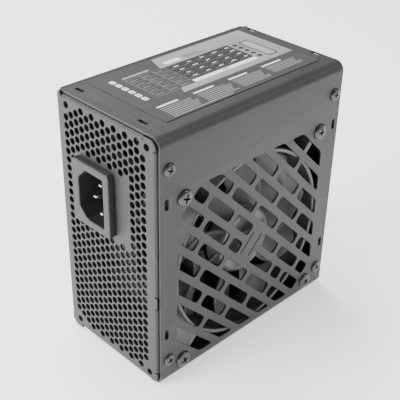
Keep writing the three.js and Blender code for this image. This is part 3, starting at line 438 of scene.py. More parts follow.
# ---------------------------------------------------------------- main board
# A glass-fibre board with a green solder mask, screwed to four turned brass posts. A polyester film keeps
# it off the steel, and two sleeved leads bring the mains from the inlet.
SOLDER_MASK = finish("solder_mask", (0.006, 0.018, 0.009), 0.4, grain=0.0009, depth=0.00003, mottle=0.35)
POLYESTER = finish("polyester_film", (0.08, 0.077, 0.065), 0.35, grain=0.003, depth=0.00003)
BRASS = finish("turned_brass", (0.62, 0.44, 0.16), 0.28, metallic=1.0, grain=0.0006, depth=0.000006)
PLATED_STEEL = finish("plated_steel", (0.62, 0.62, 0.6), 0.22, metallic=1.0, grain=0.0008, depth=0.000004)
SLEEVE = finish("pvc_sleeve", (0.05, 0.012, 0.01), 0.45, grain=0.0006, depth=0.00001)
HEAD_CLEAR = 0.1


def softened(name, edge, finish_of, body="housing", segments=2):
    """A piece made from its own solid, with the sharp edges rounded."""
    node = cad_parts[name]
    piece = bmesh.new()
    piece.from_mesh(node.data)
    piece.transform(Matrix.Scale(1000, 4) @ node.matrix_world)
    bmesh.ops.remove_doubles(piece, verts=piece.verts, dist=1e-3)
    bmesh.ops.dissolve_limit(piece, angle_limit=0.02, verts=piece.verts, edges=piece.edges)
    corners = [e for e in piece.edges if e.calc_face_angle(0) > math.radians(40)]
    bmesh.ops.bevel(piece, geom=corners, offset=edge, offset_type="OFFSET", affect="EDGES", segments=segments,
                    profile=0.5, material=-1, clamp_overlap=True)
    return made(name + "_piece", piece, [finish_of], body=body, stands_for=[name])


def evaluated(source, cutters):
    """A mesh with other meshes cut out of it."""
    def temporary(bm):
        mesh = bpy.data.meshes.new("temporary")
        bm.to_mesh(mesh)
        bm.free()
        holder = bpy.data.objects.new("temporary", mesh)
        bpy.context.scene.collection.objects.link(holder)
        return holder
    body = temporary(source)
    tools = [temporary(cutter) for cutter in cutters]
    for tool in tools:
        cut = body.modifiers.new("cut", "BOOLEAN")
        cut.operation, cut.solver, cut.object = "DIFFERENCE", "EXACT", tool
    graph = bpy.context.evaluated_depsgraph_get()
    result = bpy.data.meshes.new_from_object(body.evaluated_get(graph))
    carved = bmesh.new()
    carved.from_mesh(result)
    for holder in [body, *tools]:
        bpy.data.objects.remove(holder)
    bpy.data.meshes.remove(result)
    return carved


def cross_arm(reach, wide, deep, turn):
    """One arm of the screwdriver's cross, narrowing towards its tip."""
    arm = bmesh.new()
    bmesh.ops.create_cone(arm, cap_ends=True, segments=4, radius1=0.3 * reach, radius2=reach, depth=deep,
                          matrix=Matrix.Rotation(math.pi / 4, 4, "Z"))
    bmesh.ops.scale(arm, vec=(1, wide / reach, 1), verts=arm.verts)
    bmesh.ops.rotate(arm, cent=(0, 0, 0), matrix=Matrix.Rotation(turn, 3, "Z"), verts=arm.verts)
    bmesh.ops.rotate(arm, cent=(0, 0, 0), matrix=Matrix.Rotation(QUARTER, 3, "X"), verts=arm.verts)
    return arm


def pan_head(head, rise, shank, length, turn):
    """A screw driven towards +Y, with the underside of its head at y 0."""
    r = head / 2
    dome = [(r * math.sin(t), -rise * math.cos(t) ** 0.7) for t in [QUARTER * i / 8 for i in range(8)]]
    stem = [(r, -0.12), (r, 0), (shank / 2, 0), (shank / 2, length - 1), (0, length)]
    profile = [(0, -rise)] + dome[1:] + stem
    deep = rise * 1.5
    arms = [cross_arm(r * 0.95, r * 0.21, deep, turn + i * QUARTER) for i in (0, 1)]
    for arm in arms:
        bmesh.ops.translate(arm, vec=(0, -rise * 1.02 + deep * 0.28, 0), verts=arm.verts)
    return evaluated(turned(profile, 40), arms)


def screws(names, head, rise, shank, length, finish_of, face):
    for i, name in enumerate(names):
        screw = pan_head(head, rise, shank, length, 0.35 + 0.9 * i)
        middle = middle_of(name)
        bmesh.ops.translate(screw, vec=(middle.x, face, middle.z), verts=screw.verts)
        made(name + "_pan_head", screw, [finish_of], stands_for=[name])


softened("main_board", 0.15, SOLDER_MASK)
softened("inlet_board", 0.15, SOLDER_MASK)
softened("insulation_sheet", 0.05, POLYESTER)
for i in range(1, 5):
    softened(f"board_standoff_{i}", 0.2, BRASS)
screws([f"board_screw_{i}" for i in range(1, 5)], head=5.6, rise=1.6, shank=3, length=5,
       finish_of=PLATED_STEEL, face=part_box("main_board")[0].y * 1000 - HEAD_CLEAR)
for name in ("lead_live", "lead_neutral"):
    softened(name, 0.3, SLEEVE)

# ---------------------------------------------------------------- parts on the board
# Wound chokes, a film capacitor, a fuse, a rectifier, cans in shrink sleeve with scored tops, extruded
# heat sinks and transformers with taped windings. All are soldered to the main board and rise to the fan.
ENAMELLED = finish("enamelled_copper", (0.09, 0.035, 0.015), 0.35, metallic=0.6, grain=0.0005, depth=0.00001)
FERRITE = finish("ferrite", (0.03, 0.03, 0.031), 0.6, grain=0.0004, depth=0.00003)
YELLOW = finish("yellow_box", (0.09, 0.065, 0.012), 0.4, grain=0.0008, depth=0.00001)
ALUMINIUM = finish("raw_aluminium", (0.42, 0.42, 0.43), 0.38, metallic=1.0, grain=0.0004, depth=0.00001)
CAN_SLEEVE = finish("shrink_sleeve", (0.014, 0.015, 0.025), 0.3, grain=0.0015, depth=0.00001)
FUSE_TUBE = finish("fuse_tube", (0.45, 0.44, 0.4), 0.25, grain=0.0008, depth=0.00001)
WIRE, WOUND = 1.1, 26
CORE_HOLES = {"emi_choke": 4.5, "pfc_choke": 5, "output_inductor": 3.5}


def node_box(name, shrink=0.0):
    low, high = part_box(name)
    gap = Vector((shrink, shrink, shrink))
    return low * 1000 + gap, high * 1000 - gap


def wound_ring(name):
    """Turns of wire round a ring core that lies on the board."""
    low, high = node_box(name)
    x, z = (low.x + high.x) / 2, (low.z + high.z) / 2
    outer = (high.x - low.x) / 2 - WIRE * 0.5
    inner = CORE_HOLES[name] + WIRE * 0.5
    section = eased([(inner, low.y + WIRE * 0.5), (outer, low.y + WIRE * 0.5), (outer, high.y - WIRE * 0.5),
                     (inner, high.y - WIRE * 0.5)], 2.2, 3)
    drawing = bpy.data.curves.new("turns", "CURVE")
    drawing.dimensions, drawing.bevel_depth, drawing.bevel_resolution = "3D", WIRE / 2, 1
    for i in range(WOUND):
        angle = 2 * math.pi * i / WOUND
        turn = drawing.splines.new("POLY")
        turn.points.add(len(section) - 1)
        for point, (r, y) in zip(turn.points, section):
            point.co = (x + r * math.cos(angle), y, z + r * math.sin(angle), 1)
        turn.use_cyclic_u = True
    holder = bpy.data.objects.new("turns", drawing)
    bpy.context.scene.collection.objects.link(holder)
    wound = bpy.data.meshes.new_from_object(holder.evaluated_get(bpy.context.evaluated_depsgraph_get()))
    bpy.data.objects.remove(holder)
    ring = bmesh.new()
    ring.from_mesh(wound)
    bpy.data.meshes.remove(wound)
    inset = WIRE * 0.6
    core = [(inner + inset, low.y + 2 * inset), (inner + 2 * inset, low.y + inset + 0.4),
            (outer - 2 * inset, low.y + inset + 0.4), (outer - inset, low.y + 2 * inset),
            (outer - inset, high.y - 2 * inset), (inner + inset, high.y - 2 * inset)]
    add(ring, placed(turned(core, 48, ring=True), (x, 0, z)), 1)
    made(name + "_wound", ring, [ENAMELLED, FERRITE], stands_for=[name])


def scored_can(name):
    """A can in a shrink sleeve, with a groove under its rim and a bare top scored with a cross."""
    low, high = node_box(name)
    r = (high.x - low.x) / 2
    top, foot = low.y, high.y
    sleeve = [(r * 0.8, top + 0.15), (r * 0.84, top), (r - 0.5, top), (r - 0.1, top + 0.4), (r, top + 0.9),
              (r, foot - 3.4), (r - 0.5, foot - 2.9), (r - 0.5, foot - 2.4), (r, foot - 1.9), (r, foot - 0.3),
              (r - 0.3, foot), (0, foot), (0, top + 1), (r * 0.8, top + 1)]
    can = turned(sleeve, 48)
    lid = turned([(0, top + 0.3), (r * 0.79, top + 0.3), (r * 0.79, top + 1.1), (0, top + 1.1)], 48)
    score = []
    for i in (0, 1):
        line = bmesh.new()
        bmesh.ops.create_cube(line, size=1)
        bmesh.ops.scale(line, vec=(r * 1.2, 0.3, 0.35), verts=line.verts)
        bmesh.ops.rotate(line, cent=(0, 0, 0), matrix=Matrix.Rotation(i * QUARTER, 3, "Y"), verts=line.verts)
        score.append(placed(line, (0, top + 0.3, 0)))
    add(can, evaluated(lid, score), 1)
    placed(can, ((low.x + high.x) / 2, 0, (low.z + high.z) / 2))
    made(name + "_can", can, [CAN_SLEEVE, ALUMINIUM], stands_for=[name])


for name in CORE_HOLES:
    wound_ring(name)
for name in ("bulk_capacitor", "output_capacitor_1", "output_capacitor_2", "output_capacitor_3"):
    scored_can(name)
for name, edge, finish_of, slot in (
        ("x_capacitor", 0.6, YELLOW, "film_yellow"), ("bridge_rectifier", 0.4, FERRITE, "ferrite"),
        ("primary_heatsink", 0.2, ALUMINIUM, "heatsink"), ("secondary_heatsink", 0.2, ALUMINIUM, "heatsink"),
        ("transformer_core", 0.4, FERRITE, "ferrite"), ("transformer_winding", 0.8, YELLOW, "film_yellow"),
        ("standby_transformer", 0.7, FERRITE, "ferrite"), ("fuse", 0.2, FUSE_TUBE, "fuse_glass")):
    softened(name, edge, finish_of)

# ---------------------------------------------------------------- mains inlet
# A moulded inlet: a proud bezel with an eased rim, a keyed well behind it and three flat plated pins. It
# is pressed into the end panel from outside.
BEZEL_LOW, BEZEL_HIGH = (corner * 1000 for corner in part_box("inlet_body"))
WELL_DEEP = 15.5
INLET_PINS = ("inlet_pin_live", "inlet_pin_neutral", "inlet_pin_earth")
BLACK_PLASTIC = finish("black_moulding", (0.02, 0.02, 0.021), 0.38, grain=0.0004, depth=0.00002)

# A blank drawn in y and z stands up in a plane across X, with its first face towards -X.
ACROSS = Matrix(((0, 0, -1, 0), (-1, 0, 0, 0), (0, 1, 0, 0), (0, 0, 0, 1)))


def across(loops, limits, edge, steps=1):
    """A sheet drawn in y and z between two x limits."""
    low, high = limits
    sheet = blank([[(-y, z) for y, z in loop] for loop in loops], high - low, edge, steps)
    middle = Matrix.Translation(((low + high) / 2, 0, 0))
    bmesh.ops.transform(sheet, matrix=middle @ ACROSS, verts=sheet.verts)
    return sheet


mouth = BEZEL_LOW.x
seat = -OUTLET - 0.1
well_floor = mouth + WELL_DEEP
bezel_middle = ((BEZEL_LOW.y + BEZEL_HIGH.y) / 2, (BEZEL_LOW.z + BEZEL_HIGH.z) / 2)
bezel = rectangle(bezel_middle, BEZEL_HIGH.y - BEZEL_LOW.y, BEZEL_HIGH.z - BEZEL_LOW.z)
opening = eased(inlet_outline(0), 1)
inlet = across([eased(bezel, 1.6), opening], (mouth, seat), 0.55, 3)
add(inlet, across([eased(inlet_outline(INLET_WALL), 1.4), opening], (seat - 0.4, well_floor + 0.3), 0.1))
pin_slots = [eased(box_outline(*node_box(name), (1, 2)), 0.2) for name in INLET_PINS]
floor_outline = eased(inlet_outline(INLET_WALL - 0.05), 1.4)
add(inlet, across([floor_outline, *pin_slots], (well_floor, BEZEL_HIGH.x), 0.05))
made("inlet_moulding", inlet, [BLACK_PLASTIC], stands_for=["inlet_body"])


def rounded_block(low, high, edge, segments=3):
    """A block between two corners with its edges rounded."""
    block = bmesh.new()
    bmesh.ops.create_cube(block, size=1)
    size, middle = high - low, (low + high) / 2
    bmesh.ops.scale(block, vec=size, verts=block.verts)
    bmesh.ops.translate(block, vec=middle, verts=block.verts)
    bmesh.ops.bevel(block, geom=block.edges[:], offset=edge, offset_type="OFFSET", affect="EDGES",
                    segments=segments, profile=0.5, material=-1)
    return block


def tapered_pin(name):
    """A flat pin whose nose narrows on all four sides."""
    low, high = node_box(name)
    pin = rounded_block(low, high, 0.25, 2)
    nose, taper = low.x + 2.4, 0.65
    cut = pin.verts[:] + pin.edges[:] + pin.faces[:]
    bmesh.ops.bisect_plane(pin, geom=cut, dist=1e-4, plane_co=(nose, 0, 0), plane_no=(1, 0, 0))
    y, z = (low.y + high.y) / 2, (low.z + high.z) / 2
    for vert in pin.verts:
        if vert.co.x < nose - 1e-3:
            narrow = 1 - taper * (nose - vert.co.x) / (nose - low.x)
            vert.co.y, vert.co.z = y + (vert.co.y - y) * narrow, z + (vert.co.z - z) * narrow
    made(name + "_blade", pin, [PLATED_STEEL], stands_for=[name])


for name in INLET_PINS:
    tapered_pin(name)

# ---------------------------------------------------------------- sockets
# Moulded nylon headers for the cables: a shell with two columns of square cells and a plated contact in
# each. They are soldered to an upright board and reach out through the end panel.
NYLON = finish("black_nylon", (0.014, 0.014, 0.015), 0.4, grain=0.0005, depth=0.00002)
CELL, CELL_BORE, SOCKET_FLOOR, SOCKET_RIM, CONTACT = 4.2, 3.4, 2.5, 1.0, 0.9
CELLS_SET_IN, CONTACT_SET_IN = 1.6, 3.2


def socket_piece(name):
    low, high = node_box(name)
    cells = round((high.z - low.z - 2 * SOCKET_RIM) / CELL)
    y, floor = (low.y + high.y) / 2, low.x + SOCKET_FLOOR
    rows = [low.z + SOCKET_RIM + (i + 0.5) * CELL for i in range(cells)]
    places = [(y + side * CELL / 2, z) for side in (-1, 1) for z in rows]
    outline = eased(box_outline(low, high, (1, 2)), 0.5, 2)
    rim = Vector((0, SOCKET_RIM, SOCKET_RIM))
    inside = eased(box_outline(low + rim, high - rim, (1, 2)), 0.3, 2)
    shell = across([outline, inside], (low.x, high.x), 0.25, 2)
    add(shell, across([inside], (low.x + 0.1, floor), 0.05))
    bores = [eased(rectangle(place, CELL_BORE, CELL_BORE), 0.7 if i % 3 else 0.25, 2)
             for i, place in enumerate(places)]
    add(shell, across([inside, *bores], (floor - 0.1, high.x - CELLS_SET_IN), 0.12))
    for a, b in places:
        tip = Vector((high.x - CONTACT_SET_IN, a + CONTACT / 2, b + CONTACT / 2))
        add(shell, rounded_block(Vector((floor - 0.2, a - CONTACT / 2, b - CONTACT / 2)), tip, 0.15, 1), 1)
    made(name + "_header", shell, [NYLON, PLATED_STEEL], stands_for=[name])


for name in socket_names():
    socket_piece(name)
softened("socket_board", 0.15, SOLDER_MASK)

# ---------------------------------------------------------------- cover shell
# The cover is a U of 1 mm steel: the fan side with its stamped grille, rolled over into the top and
# bottom walls. It is blanked and punched flat and bent last, and carries the same powder coat.
COVER_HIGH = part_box("cover_shell")[1] * 1000
COVER_BEND, SETBACK = 4.5, 0.9
COVER_SCREW_BORE, FAN_SCREW_BORE = 3.6, 4.6
FAN_LOW, FAN_HIGH = (corner * 1000 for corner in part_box("fan_frame"))
FAN_X, FAN_Z = (FAN_LOW.x + FAN_HIGH.x) / 2, (FAN_LOW.z + FAN_HIGH.z) / 2
GRILLE_MIDDLE = Vector((FAN_X - 0.5, FAN_Z + 0.6))
GRILLE_HALF = Vector((46.25, 45.3))
LANES, LANE_PITCH, LANE_WIDE = 12, 9.39, 5.8
BRIDGE, BRIDGE_PITCH, BADGE, LANE_END = 3.1, 22.7, 12.0, 55.3
LOWER_MIDDLE_BRIDGES = (-39.5, -16.4, 27.3, 37.8)


def bridges(lane):
    """Where the bars cross a lane, measured down the lane from the grille's middle."""
    rank = lane if lane > 0 else 1 - lane
    if rank == LANES // 2:
        return []
    if lane == 0:
        return list(LOWER_MIDDLE_BRIDGES)
    shift = 0 if rank % 2 else 0.5
    reach = (LANES / 2 - 1 - rank) / 2 + 0.1
    places = [step + shift for step in range(-3, 4) if abs(step + shift) <= reach]
    return [place * BRIDGE_PITCH for place in places if not (rank == 1 and place == 0)]


def clipped(corners, normal, limit):
    """The part of an outline that lies within a limit along a direction."""
    kept = []
    for here, after in zip(corners, corners[1:] + corners[:1]):
        a, b = limit - here.dot(normal), limit - after.dot(normal)
        if a >= 0:
            kept.append(here)
        if a * b < 0:
            kept.append(here.lerp(after, a / (a - b)))
    return kept


def lane_point(down, across_lane):
    root = math.sqrt(0.5)
    return Vector(((across_lane + down) * root, (across_lane - down) * root))


def windows():
    found = []
    for lane in range(1 - LANES // 2, LANES // 2 + 1):
        rank = lane if lane > 0 else 1 - lane
        stops = [(place - BRIDGE / 2, place + BRIDGE / 2) for place in bridges(lane)]
        if rank == 1:
            stops.append((-BADGE / 2, BADGE / 2))
        end = LANE_END if rank == 1 else 2 * GRILLE_HALF.x
        stops = sorted(stops)
        starts = [-end] + [after for _, after in stops]
        ends = [before for before, _ in stops] + [end]
        middle = (lane - 0.5) * LANE_PITCH
        low, high = middle - LANE_WIDE / 2, middle + LANE_WIDE / 2
        for start, stop in zip(starts, ends):
            corners = [lane_point(*c) for c in ((start, low), (stop, low), (stop, high), (start, high))]
            for normal, limit in (((1, 0), GRILLE_HALF.x), ((-1, 0), GRILLE_HALF.x),
                                  ((0, 1), GRILLE_HALF.y), ((0, -1), GRILLE_HALF.y)):
                corners = clipped(corners, Vector(normal), limit)
            if len(corners) > 2:
                found.append([tuple(Vector(point) + GRILLE_MIDDLE) for point in eased(corners, 2.0)])
    return found


def cover_blank():
    """The flat cover in x and z: the fan side stays where it is and the other walls unroll from it."""
    curve = COVER_BEND * QUARTER
    low_line, high_line = COVER_BEND, HEIGHT - COVER_BEND
    top_end = high_line + curve + (COVER_HIGH.y - FRONT - COVER_BEND)
    step = high_line + curve + (BACK - 2 * LEDGE - FIT - FRONT - COVER_BEND)
    bottom_end = low_line - curve - (BACK - SILL - FIT - FRONT - COVER_BEND)
    wide, narrow = COVER_HIGH.x - SETBACK, OUTLET - LEDGE
    half = [(wide - 1, bottom_end), (wide, bottom_end + 1), (wide, step), (narrow, step), (narrow, top_end)]
    loops = [half + [(-u, v) for u, v in reversed(half)]]
    loops += windows()
    for names, bore in ((COVER_SCREWS, COVER_SCREW_BORE), (FAN_SCREWS, FAN_SCREW_BORE)):
        loops += [circle((middle_of(name).x, middle_of(name).z), bore) for name in names]
    for side in (-1, 1):
        loops += [slot_loop((side * (OUTLET - SIDE_SLOT_INSET), z), SLOT_WIDE, SLOT_LONG) for z in SIDE_SLOTS]
        x, start = side * (OUTLET - TOP_SLOT_INSETS[side]), high_line + curve - FRONT - COVER_BEND
        loops += [slot_loop((x, start + y), SLOT_WIDE, SLOT_LONG) for y in TOP_SLOTS]
    return loops


def groove(down, start, stop):
    """A shallow round-ended groove, as a cutter, in the badge plate between the middle windows."""
    wide, deep = 0.7, 0.4
    left, right = down - wide / 2, down + wide / 2
    corners = [(left, start), (right, start), (right, stop), (left, stop)]
    points = [tuple(lane_point(*corner) + GRILLE_MIDDLE) for corner in corners]
    cutter = blank([eased(points, 0.3, 3)], 2 * deep, 0.05)
    stand(cutter, FRONT)
    return cutter


cover = blank(cover_blank(), SHEET, EDGE)
stand(cover, FRONT + SHEET / 2)
cover = evaluated(cover, [groove(-3.1, -6.6, 5.2), groove(3.1, -5.2, 6.6)])
bmesh.ops.remove_doubles(cover, verts=cover.verts, dist=1e-4)
for line, way in ((HEIGHT - COVER_BEND, 1), (COVER_BEND, -1)):
    fold(cover, (0, FRONT, line), (0, 0, way), (0, -1, 0), COVER_BEND, 8)
made("cover_shell_sheet", cover, [CHARCOAL_PAINT], stands_for=["cover_shell"])

# ---------------------------------------------------------------- screws
# Pan-head steel screws with a cross recess, in darkened zinc. The large ones hold the fan to the grille,
# and the small ones hold the cover to the tabs folded in under it.
DARK_ZINC = finish("dark_zinc", (0.09, 0.09, 0.093), 0.3, metallic=1.0, grain=0.0006, depth=0.000006)
screws(COVER_SCREWS, head=6, rise=1.2, shank=3, length=5,
       finish_of=DARK_ZINC, face=FRONT - HEAD_CLEAR)
screws(FAN_SCREWS, head=7.8, rise=1.5, shank=4, length=9,
       finish_of=DARK_ZINC, face=FRONT - HEAD_CLEAR)

# ---------------------------------------------------------------- fan
# A slim axial fan: a moulded frame with a round duct, four struts and a motor plate behind, and a rotor
# of nine swept blades on a hub cup that holds the magnet and turns on a steel shaft in a brass bush.
FAN_PLASTIC = finish("fan_moulding", (0.06, 0.06, 0.062), 0.36, grain=0.0005, depth=0.00001)
BLADE_PLASTIC = finish("blade_moulding", (0.13, 0.13, 0.134), 0.3, grain=0.0007, depth=0.000008)
DUCT, RING, LUG, RIB, MOTOR_PLATE, REAR_THICK, STRUT = 89.0, 93.0, 8.4, 3.0, 35.0, 2.0, 4.0
FAN_FACE, FAN_BACK = FAN_LOW.y, FAN_HIGH.y


def frame_lug(quarter):
    """A round lug for a screw, on a thin rib that stands out from the duct."""
    reach, inner = abs(middle_of(FAN_SCREWS[0]).x - FAN_X) * math.sqrt(2), (DUCT + RING) / 4
    swell = math.degrees(math.asin(RIB / LUG))
    rim = arc((reach, 0), LUG / 2, swell - 180, 180 - swell, 20)
    outline = [(inner, -RIB / 2)] + rim + [(inner, RIB / 2)]
    lug = blank([outline, circle((reach, 0), FAN_SCREW_BORE, 20)], FAN_BACK - FAN_FACE, 0.3, 2)
    turn = Matrix.Rotation(QUARTER * (quarter + 0.5), 3, "Z")
    bmesh.ops.rotate(lug, cent=(0, 0, 0), matrix=turn, verts=lug.verts)
    stand(lug, (FAN_FACE + FAN_BACK) / 2)
    return placed(lug, (FAN_X, 0, FAN_Z))


def motor_mount():
    """The rear ring, the motor plate and the four struts between them."""
    mount = blank([circle((FAN_X, FAN_Z), RING, 96), *strut_openings()], REAR_THICK, 0.35, 2)
    stand(mount, FAN_BACK - REAR_THICK / 2)
    return mount


def strut_openings():
    """The four openings of the rear face, between the struts, the duct and the motor plate."""
    half, inner, outer = STRUT / 2, MOTOR_PLATE / 2, DUCT / 2 - 0.6
    found = []
    for quarter in range(4):
        turn = 90 * quarter
        outside, inside = (math.degrees(math.asin(half / r)) for r in (outer, inner))
        points = arc((0, 0), outer, turn + outside, turn + 90 - outside, 16)
        points += arc((0, 0), inner, turn + 90 - inside, turn + inside, 8)
        found.append(eased([(FAN_X + a, FAN_Z + b) for a, b in points], 0.6, 2))
    return found


outer, inner = RING / 2, DUCT / 2
wall = [(inner - 0.02, FAN_FACE + 1.2), (inner + 0.2, FAN_FACE + 0.4), (inner + 0.9, FAN_FACE),
        (outer - 0.4, FAN_FACE), (outer, FAN_FACE + 0.4), (outer, FAN_BACK - 1), (inner - 0.02, FAN_BACK - 1)]
frame_moulding = placed(turned(wall, 96, ring=True), (FAN_X, 0, FAN_Z))
add(frame_moulding, motor_mount())
for quarter in range(4):
    add(frame_moulding, frame_lug(quarter))
POST_BORE, POST_OUTER, POST_TALL = 3.4, 4.5, 9.5
post_top = FAN_BACK - POST_TALL
post = [(0, FAN_BACK - 0.3), (0, FAN_BACK - 1.2), (POST_BORE, FAN_BACK - 1.2), (POST_BORE, post_top),
        (POST_OUTER, post_top), (POST_OUTER, FAN_BACK - 0.3)]
add(frame_moulding, placed(turned(post, 32), (FAN_X, 0, FAN_Z)))
made("fan_frame_moulding", frame_moulding, [FAN_PLASTIC], stands_for=["fan_frame"])

HUB_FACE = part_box("fan_rotor")[0].y * 1000
HUB, HUB_DEEP, HUB_WALL = 33.0, 8.6, 1.4
BLADES, BLADE_SPAN, BLADE_SWEEP, BLADE_DEEP, BLADE_THICK = 9, 33, 24, 8.8, 1.2
BLADE_TIP = DUCT / 2 - 1.6


def rotor_blade(turn):
    """A swept, twisted and slightly hollow blade."""
    blade = bmesh.new()
    bmesh.ops.create_grid(blade, x_segments=14, y_segments=10, size=0.5)
    root = HUB / 2 - HUB_WALL / 2
    for vert in blade.verts:
        reach, chord = vert.co.x + 0.5, vert.co.y
        radius = root + reach * (BLADE_TIP - root)
        angle = math.radians(turn + chord * BLADE_SPAN * (1 - 0.25 * reach) + BLADE_SWEEP * reach * reach)
        hollow = 0.7 * (1 - 4 * chord * chord)
        y = HUB_FACE + 0.4 + BLADE_DEEP * (0.5 + chord * 0.86) + hollow
        vert.co = Vector((radius * math.cos(angle), y, radius * math.sin(angle)))
    bmesh.ops.recalc_face_normals(blade, faces=blade.faces)
    bmesh.ops.solidify(blade, geom=blade.faces[:], thickness=BLADE_THICK)
    rim = [edge for edge in blade.edges if edge.calc_face_angle(0) > 1.2]
    bmesh.ops.bevel(blade, geom=rim, offset=0.3, offset_type="OFFSET", affect="EDGES", segments=2,
                    profile=0.5, material=-1)
    return blade


r = HUB / 2
face = HUB_FACE
cup = [(0, face + 0.35), (5.2, face + 0.35), (5.5, face + 0.05), (r - 2.2, face), (r - 1.2, face + 0.15),
       (r - 0.35, face + 0.7), (r, face + 1.8), (r, face + HUB_DEEP), (r - HUB_WALL, face + HUB_DEEP),
       (r - HUB_WALL, face + HUB_WALL), (0, face + HUB_WALL)]
rotor = turned(cup, 72)
for i in range(BLADES):
    add(rotor, rotor_blade(360 * i / BLADES))
placed(rotor, (FAN_X, 0, FAN_Z))
made("fan_rotor_moulding", rotor, [BLADE_PLASTIC], body="fan_rotor",
     stands_for=["fan_rotor"], sharp=50)

# The magnet and the shaft turn with the rotor. The bush, the wound poles, the small board and the lead
# stay on the frame.
MAGNET = finish("bonded_magnet", (0.03, 0.03, 0.03), 0.6, grain=0.0004, depth=0.00002)
softened("magnet_ring", 0.2, MAGNET, body="fan_rotor")
softened("fan_shaft", 0.2, PLATED_STEEL, body="fan_rotor")
softened("fan_bearing", 0.2, BRASS)
softened("fan_stator", 0.4, ENAMELLED)
softened("fan_board", 0.1, SOLDER_MASK)
softened("fan_lead", 0.3, CAN_SLEEVE)

# ---------------------------------------------------------------- rating label
# A satin film label on the top wall, printed in two greys and white. The print is plain panels, bars,
# dashes and boxes, laid on the film as thin inks.
LABEL_LOW, LABEL_HIGH = (corner * 1000 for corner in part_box("rating_label"))
FILM_TOP = LABEL_HIGH.z
INK = 0.02
PRINT_START = LABEL_LOW.x - 13
LABEL_FILM = finish("label_film", (0.04, 0.04, 0.042), 0.33, grain=0.0012, depth=0.000006, mottle=0.03)
GREY_INK = finish("grey_ink", (0.21, 0.21, 0.215), 0.36, grain=0.0012, depth=0.000006, mottle=0.03)
DARK_INK = finish("dark_ink", (0.018, 0.018, 0.019), 0.36, grain=0.0012, depth=0.000006, mottle=0.03)
WHITE_INK = finish("white_ink", (0.8, 0.8, 0.8), 0.4, grain=0.0012, depth=0.000006, mottle=0.03)
FAINT_INK = finish("faint_ink", (0.3, 0.3, 0.305), 0.36, grain=0.0012, depth=0.000006, mottle=0.03)


def printed(outline, layer):
    """An inked area, from (x along the label, y up the label) points, lying on the layers below it."""
    ink = blank([outline], INK, 0.004)
    bmesh.ops.translate(ink, vec=(PRINT_START, FRONT, FILM_TOP + INK * (layer + 0.5)), verts=ink.verts)
    return ink


def bar(x, y, wide, tall, radius=0.12):
    return eased(rectangle((x + wide / 2, y + tall / 2), wide, tall), radius, 2)


def label_print():
    """Every inked area as (outline, layer, ink)."""
    grey, dark, white, faint = 1, 2, 3, 4
    inks = [
        ([(49.5, 59.3), (46, 49.2), (87.7, 49.2), (87.7, 28.6), (39, 28.6), (37, 24.5), (106.3, 24.5),
          (106.3, 59.3)], 0, grey),
        (bar(48, 32.4, 39.5, 16.4, 0.6), 0, dark),
        (bar(48, 28.7, 39.3, 2.6, 0.2), 1, white),
        (bar(51, 50.9, 9.5, 2.9, 0.4), 1, white),
        (bar(63, 51.4, 14, 0.5), 1, dark),
        (bar(63, 52.9, 10, 0.5), 1, dark),
        (bar(93.6, 27.6, 6.4, 20.2, 1.2), 1, dark),
        (bar(94.4, 28.4, 4.8, 18.6, 0.8), 2, faint),
        (bar(26, 50.9, 15, 1.2, 0.3), 0, faint),
        (bar(66, 30.1, 4.6, 0.6), 2, dark),
    ]
    inks += [(bar(49 + 7.8 * c, 33.2 + 4 * r, 6.6, 0.12, 0.03), 1, faint) for c in range(5) for r in range(4)]
    for r, y in enumerate((34.4, 38.6, 42.8, 46.8)):
        for c in range(5):
            wide = (3.0, 2.2, 2.6)[(r + c) % 3]
            inks.append((bar(51.5 + 8 * c - wide / 2 + 1.6, y - 0.25, wide, 0.5, 0.08), 1, white))
    inks += [(bar(19.6, 29 + 4.2 * i, 2.4, 3.1, 0.5), 0, white) for i in range(6)]
    inks += [(bar(20.3, 29.7 + 4.2 * i, 1.0, 1.7, 0.3), 1, faint) for i in range(6)]
    inks += [(bar(89.2, 29.5 + 3.9 * i, 2.6, 2.6, 1.2), 1, dark) for i in range(5)]
    inks += [(bar(26, 28.3 + 4.24 * i, 22 - (i == 5) * 1.5, 0.1, 0.03), 0, faint) for i in range(6)]
    inks += [(bar(x, 28.3, 0.1, 21.4, 0.03), 0, faint) for x in (26, 34, 41, 47.8)]
    inks += [(bar(27 + 7 * c, 30.1 + 4.24 * r, 4.2, 0.25, 0.06), 0, faint)
             for c in range(3) for r in range(5)]
    for x, wide, lines in ((18.5, 18.5, 6), (39, 18.5, 6), (60, 18, 6), (81, 20, 5)):
        inks.append((bar(x, 20.4, wide * 0.62, 1.1), 0, white))
        for i in range(lines):
            long = wide * (1 - 0.13 * ((i * 5 + int(x)) % 4) / 3)
            inks.append((bar(x, 18.6 - 1.35 * i, long, 0.38), 0, faint))
    inks.append((bar(18.5, 10.3, 33.5, 0.5), 0, faint))
    return inks


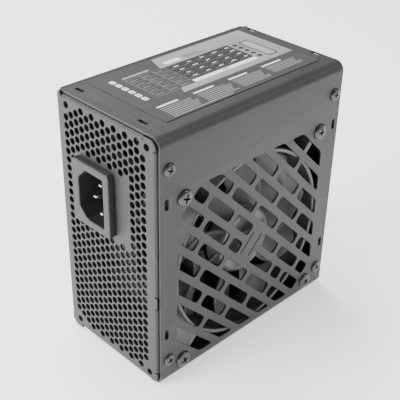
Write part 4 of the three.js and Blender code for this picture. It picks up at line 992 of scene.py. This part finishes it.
film_box = [LABEL_HIGH.x - LABEL_LOW.x, LABEL_HIGH.y - LABEL_LOW.y]
film_middle = ((LABEL_LOW.x + LABEL_HIGH.x) / 2, (LABEL_LOW.y + LABEL_HIGH.y) / 2)
label = blank([eased(rectangle(film_middle, *film_box), 1.2)], LABEL_HIGH.z - LABEL_LOW.z, 0.05)
bmesh.ops.translate(label, vec=(0, 0, (LABEL_LOW.z + LABEL_HIGH.z) / 2), verts=label.verts)
for outline, layer, ink in label_print():
    add(label, printed(outline, layer), ink)
made("rating_label_film", label, [LABEL_FILM, GREY_INK, DARK_INK, WHITE_INK, FAINT_INK],
     stands_for=["rating_label"])

# ---------------------------------------------------------------- floor and lights
# A plain pale floor with a little light of its own, a large soft light on the left, a weaker one above
# and a small one along the top bend.
floor = bpy.data.objects.new("floor", bpy.data.meshes.new("floor"))
bpy.context.scene.collection.objects.link(floor)
ground = bmesh.new()
bmesh.ops.create_grid(ground, x_segments=1, y_segments=1, size=3, matrix=Matrix.Translation((0, 0, -0.0002)))
ground.to_mesh(floor.data)
ground.free()
pale = bpy.data.materials.new("pale_floor")
pale.use_nodes = True
pale_inputs = pale.node_tree.nodes["Principled BSDF"].inputs
pale_inputs["Base Color"].default_value = (0.9, 0.9, 0.9, 1)
pale_inputs["Roughness"].default_value = 0.8
pale_inputs["Emission Color"].default_value = (1, 1, 1, 1)
pale_inputs["Emission Strength"].default_value = 0.9
floor.data.materials.append(pale)


def light(name, place, size, power):
    lamp = bpy.data.objects.new(name, bpy.data.lights.new(name, "AREA"))
    lamp.data.size, lamp.data.energy = size, power
    lamp.location = place
    lamp.rotation_euler = (Vector((0, 0, 0.06)) - Vector(place)).to_track_quat("-Z", "Y").to_euler()
    bpy.context.scene.collection.objects.link(lamp)


light("left_light", (-1.3, 0.4, 0.7), 0.8, 52)
light("top_light", (0.1, 0.7, 1.3), 0.8, 30)
light("rim_light", (0.66, -0.7, 0.8), 0.3, 3.5)
world = bpy.data.worlds.new("studio")
world.use_nodes = True
world.node_tree.nodes["Background"].inputs["Color"].default_value = (1, 1, 1, 1)
world.node_tree.nodes["Background"].inputs["Strength"].default_value = 0.42
bpy.context.scene.world = world
